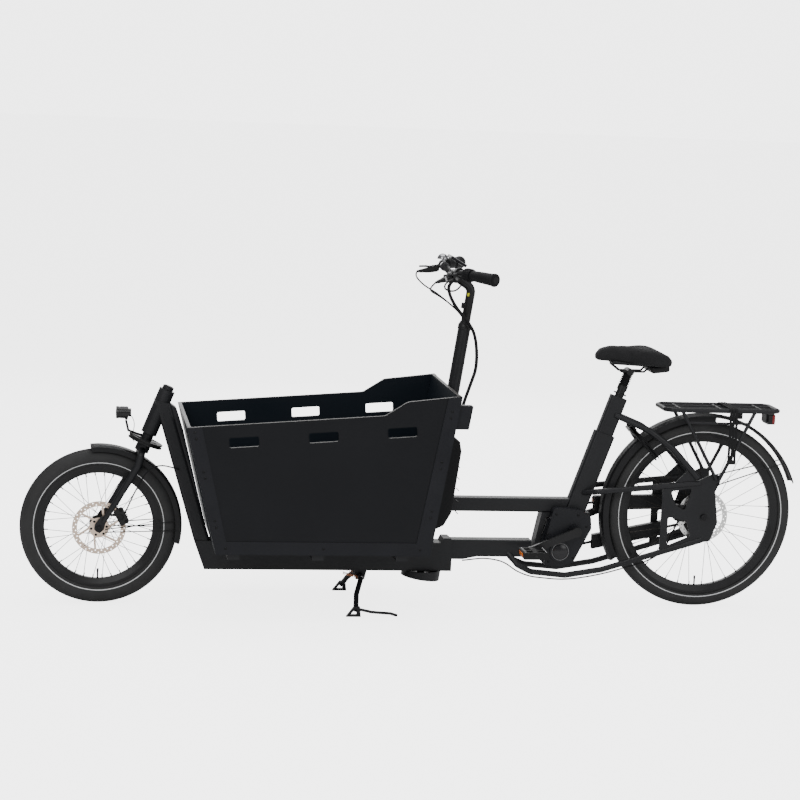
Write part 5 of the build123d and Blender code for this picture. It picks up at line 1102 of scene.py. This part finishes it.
class CARGO_OT_rack_details(bpy.types.Operator):
    """Make the luggage strap, its hook, the lock's knob and the lock's plate"""
    bl_idname = "cargo.rack_details"
    bl_label = "Rack details"

    def execute(self, context):
        low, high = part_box("rack_strap")
        shape = bmesh.new()
        route = [Vector((0, low.y + 0.002, low.z + 0.012)), Vector((0, low.y + 0.0008, low.z + 0.08)),
                 Vector((0, low.y + 0.0015, high.z - 0.02)), Vector((0, low.y + 0.004, high.z - 0.005)),
                 Vector((0, low.y + 0.014, high.z - 0.0012)), Vector((0, 0, high.z - 0.0006)),
                 Vector((0, high.y - 0.006, high.z - 0.0012))]
        width = high.x - low.x
        for band in range(3):
            x = low.x + width * (band + 0.5) / 3
            half = width / 6 - 0.0006
            row = [shape.verts.new((x + share * half, route[0].y, route[0].z)) for share in (-1, -0.5, 0.5, 1)]
            edges = [shape.edges.new(pair) for pair in zip(row, row[1:])]
            for here, there in zip(route, route[1:]):
                grown = bmesh.ops.extrude_edge_only(shape, edges=edges)["geom"]
                moved = [part for part in grown if isinstance(part, bmesh.types.BMVert)]
                edges = [part for part in grown if isinstance(part, bmesh.types.BMEdge)]
                bmesh.ops.translate(shape, vec=there - here, verts=moved)
        bmesh.ops.remove_doubles(shape, verts=shape.verts, dist=1e-6)
        bmesh.ops.recalc_face_normals(shape, faces=shape.faces)
        strap = add_piece("luggage_strap", shape, "frame", finish("strap_elastic"))
        wall = strap.modifiers.new("Wall", "SOLIDIFY")
        wall.thickness = 0.0022
        wall.offset = 0
        soft = strap.modifiers.new("Round", "SUBSURF")
        soft.levels = soft.render_levels = 2
        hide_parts("rack_strap")
        shape = bmesh.new()
        foot = Vector(((low.x + high.x) / 2, low.y + 0.0018, low.z + 0.008))
        add_block(shape, (width, 0.016, 0.0035), placed(foot, (0, 1, 0), (1, 0, 0)), 0.0014)
        add_piece("strap_hook", shape, "frame", finish("guard_plastic"))
        shape = bmesh.new()
        turn = PLACE["lock_slide"]
        low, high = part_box("lock_shackle")
        axis = AXIS["lock_slide"]
        away = (turn - REAR_AXLE).normalized()
        angle = math.radians(185)
        across = SIDEWAYS * math.sin(angle) + away * -math.cos(angle)
        knob = turn + across.normalized() * 0.102
        profile = [(0.0, 0.007), (0.005, 0.0066), (0.0068, 0.003), (0.006, -0.004), (0.003, -0.008), (0.0, -0.008)]
        add_turned(shape, profile, placed(knob, across), steps=20)
        add_piece("lock_knob", shape, "lock_shackle", finish("guard_plastic"))
        shape = bmesh.new()
        seat = turn + away * 0.0945 + axis * 0.002
        add_block(shape, (0.03, 0.012, 0.0035), placed(seat + away * 0.0002, away, SIDEWAYS), 0.0014)
        add_piece("lock_plate", shape, "frame", finish("grey_plastic"))
        return {"FINISHED"}


class CARGO_OT_stand_details(bpy.types.Operator):
    """Add the stand's springs and bolts, and the battery's ribs"""
    bl_idname = "cargo.stand_details"
    bl_label = "Stand details"

    def execute(self, context):
        pivot = PLACE["stand_fold"]
        for side, word in ((-1, "left"), (1, "right")):
            start = pivot + Vector((-0.002, side * 0.044, -0.006))
            end = Vector((pivot.x - 0.062, side * 0.042, 0.116))
            run = end - start
            base = placed(start, run)
            turns, radius = 11, 0.0052
            points = []
            for step in range(turns * 6 + 1):
                angle = math.tau * step / 6
                points.append(base @ Vector((radius * math.cos(angle), radius * math.sin(angle),
                                             run.length * step / (turns * 6))))
            tube(word + "_stand_spring", points, 0.0011, "frame", finish("copper_spring"), 2)
        shape = bmesh.new()
        for side in (-1, 1):
            add_bolt(shape, pivot + Vector((0, side * 0.066, 0)), (0, side, 0), 0.0075, 0.004)
        sharpen(add_piece("stand_bolts", shape, "stand", finish("bare_steel")))
        shape = bmesh.new()
        low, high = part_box("battery")
        for row in range(6):
            z = low.z + 0.05 + 0.04 * row
            add_block(shape, (0.003, 0.05, 0.0022), placed((high.x - 0.0008, (low.y + high.y) / 2, z)), 0.0007)
        add_piece("battery_ribs", shape, "frame", finish("battery_plastic"))
        return {"FINISHED"}


class CARGO_OT_stage(bpy.types.Operator):
    """Set up the floor, the lights and the camera"""
    bl_idname = "cargo.stage"
    bl_label = "Stage"

    def execute(self, context):
        settings = context.scene.cargo_stage
        scene = context.scene
        shape = bmesh.new()
        bmesh.ops.create_grid(shape, x_segments=4, y_segments=4, size=60.0)
        mesh = bpy.data.meshes.new("floor")
        shape.to_mesh(mesh)
        shape.free()
        floor = bpy.data.objects.new("floor", mesh)
        scene.collection.objects.link(floor)
        material = bpy.data.materials.new("floor_paper")
        material.use_nodes = True
        tree = material.node_tree
        shader = tree.nodes["Principled BSDF"]
        shader.inputs["Base Color"].default_value = (settings.floor_tone,) * 3 + (1,)
        shader.inputs["Roughness"].default_value = 0.9
        shader.inputs["Specular IOR Level"].default_value = 0.1
        shader.inputs["Emission Color"].default_value = (1, 1, 1, 1)
        seen = tree.nodes.new("ShaderNodeLightPath").outputs["Is Camera Ray"]
        tree.links.new(maths(tree, "MULTIPLY", seen, settings.floor_glow), shader.inputs["Emission Strength"])
        mesh.materials.append(material)
        world = bpy.data.worlds.new("studio")
        scene.world = world
        world.use_nodes = True
        tree = world.node_tree
        back = tree.nodes["Background"]
        back.inputs["Color"].default_value = (1, 1, 1, 1)
        seen = tree.nodes.new("ShaderNodeLightPath").outputs["Is Camera Ray"]
        strength = maths(tree, "MULTIPLY_ADD", seen, settings.backdrop, settings.ambient)
        tree.links.new(strength, back.inputs["Strength"])
        for name, place, size, power in (
            ("key", (-2.2, -4.2, 3.4), 3.0, settings.key_power * 0.7),
            ("fill", (3.4, -3.6, 2.4), 3.0, settings.key_power * 0.35),
            ("top", (0.0, 0.4, 4.6), 4.0, settings.key_power),
            ("back", (0.5, 4.5, 2.6), 3.0, settings.key_power * 0.4),
        ):
            light = bpy.data.lights.new(name, "AREA")
            light.energy = power
            light.size = size
            lamp = bpy.data.objects.new(name, light)
            scene.collection.objects.link(lamp)
            lamp.location = place
            lamp.rotation_euler = (Vector((0, 0, 0.5)) - Vector(place)).to_track_quat("-Z", "Y").to_euler()
        data = bpy.data.cameras.new("camera")
        camera = bpy.data.objects.new("camera", data)
        scene.collection.objects.link(camera)
        data.lens = 104.1
        data.sensor_width = 36.0
        yaw, pitch, roll = 0.1552, 0.1440, 0.0413
        forward = Vector((math.sin(yaw) * math.cos(pitch), math.cos(yaw) * math.cos(pitch), -math.sin(pitch)))
        right = forward.cross(Vector((0, 0, 1))).normalized()
        above = right.cross(forward)
        turned_right = right * math.cos(roll) + above * math.sin(roll)
        turned_up = above * math.cos(roll) - right * math.sin(roll)
        place = Matrix((turned_right, turned_up, -forward)).transposed().to_4x4()
        place.translation = Vector((-1.2796, -7.7429, 1.8488))
        camera.matrix_world = place
        scene.camera = camera
        return {"FINISHED"}


OPERATORS = (CARGO_OT_finishes, CARGO_OT_tyre_marks, CARGO_OT_wheel_details, CARGO_OT_guard_skirts,
             CARGO_OT_box_screws, CARGO_OT_callipers, CARGO_OT_saddle,
             CARGO_OT_seat_details, CARGO_OT_lamps, CARGO_OT_cockpit, CARGO_OT_cables, CARGO_OT_drive,
             CARGO_OT_rack_details, CARGO_OT_stand_details, CARGO_OT_stage)


class CARGO_PT_panel(bpy.types.Panel):
    """The cargo bicycle's settings and steps"""
    bl_idname = "CARGO_PT_panel"
    bl_label = "Cargo Bicycle"
    bl_space_type = "VIEW_3D"
    bl_region_type = "UI"
    bl_category = "Cargo Bicycle"

    def draw(self, context):
        for settings in (context.scene.cargo_body, context.scene.cargo_wheels, context.scene.cargo_stage):
            for name in settings.__annotations__:
                self.layout.prop(settings, name)
        for operator in OPERATORS:
            self.layout.operator(operator.bl_idname)


CLASSES = (WheelSettings, BodySettings, StageSettings) + OPERATORS + (CARGO_PT_panel,)


def register():
    """Register the classes and their settings."""
    for item in CLASSES:
        bpy.utils.register_class(item)
    bpy.types.Scene.cargo_wheels = PointerProperty(type=WheelSettings)
    bpy.types.Scene.cargo_body = PointerProperty(type=BodySettings)
    bpy.types.Scene.cargo_stage = PointerProperty(type=StageSettings)


def unregister():
    """Take the settings and classes away again."""
    for name in ("cargo_wheels", "cargo_body", "cargo_stage"):
        delattr(bpy.types.Scene, name)
    for item in reversed(CLASSES):
        bpy.utils.unregister_class(item)


def main():
    """Build everything in order."""
    register()
    for operator in OPERATORS:
        group, name = operator.bl_idname.split(".")
        getattr(getattr(bpy.ops, group), name)()


if __name__ == "__main__":
    main()
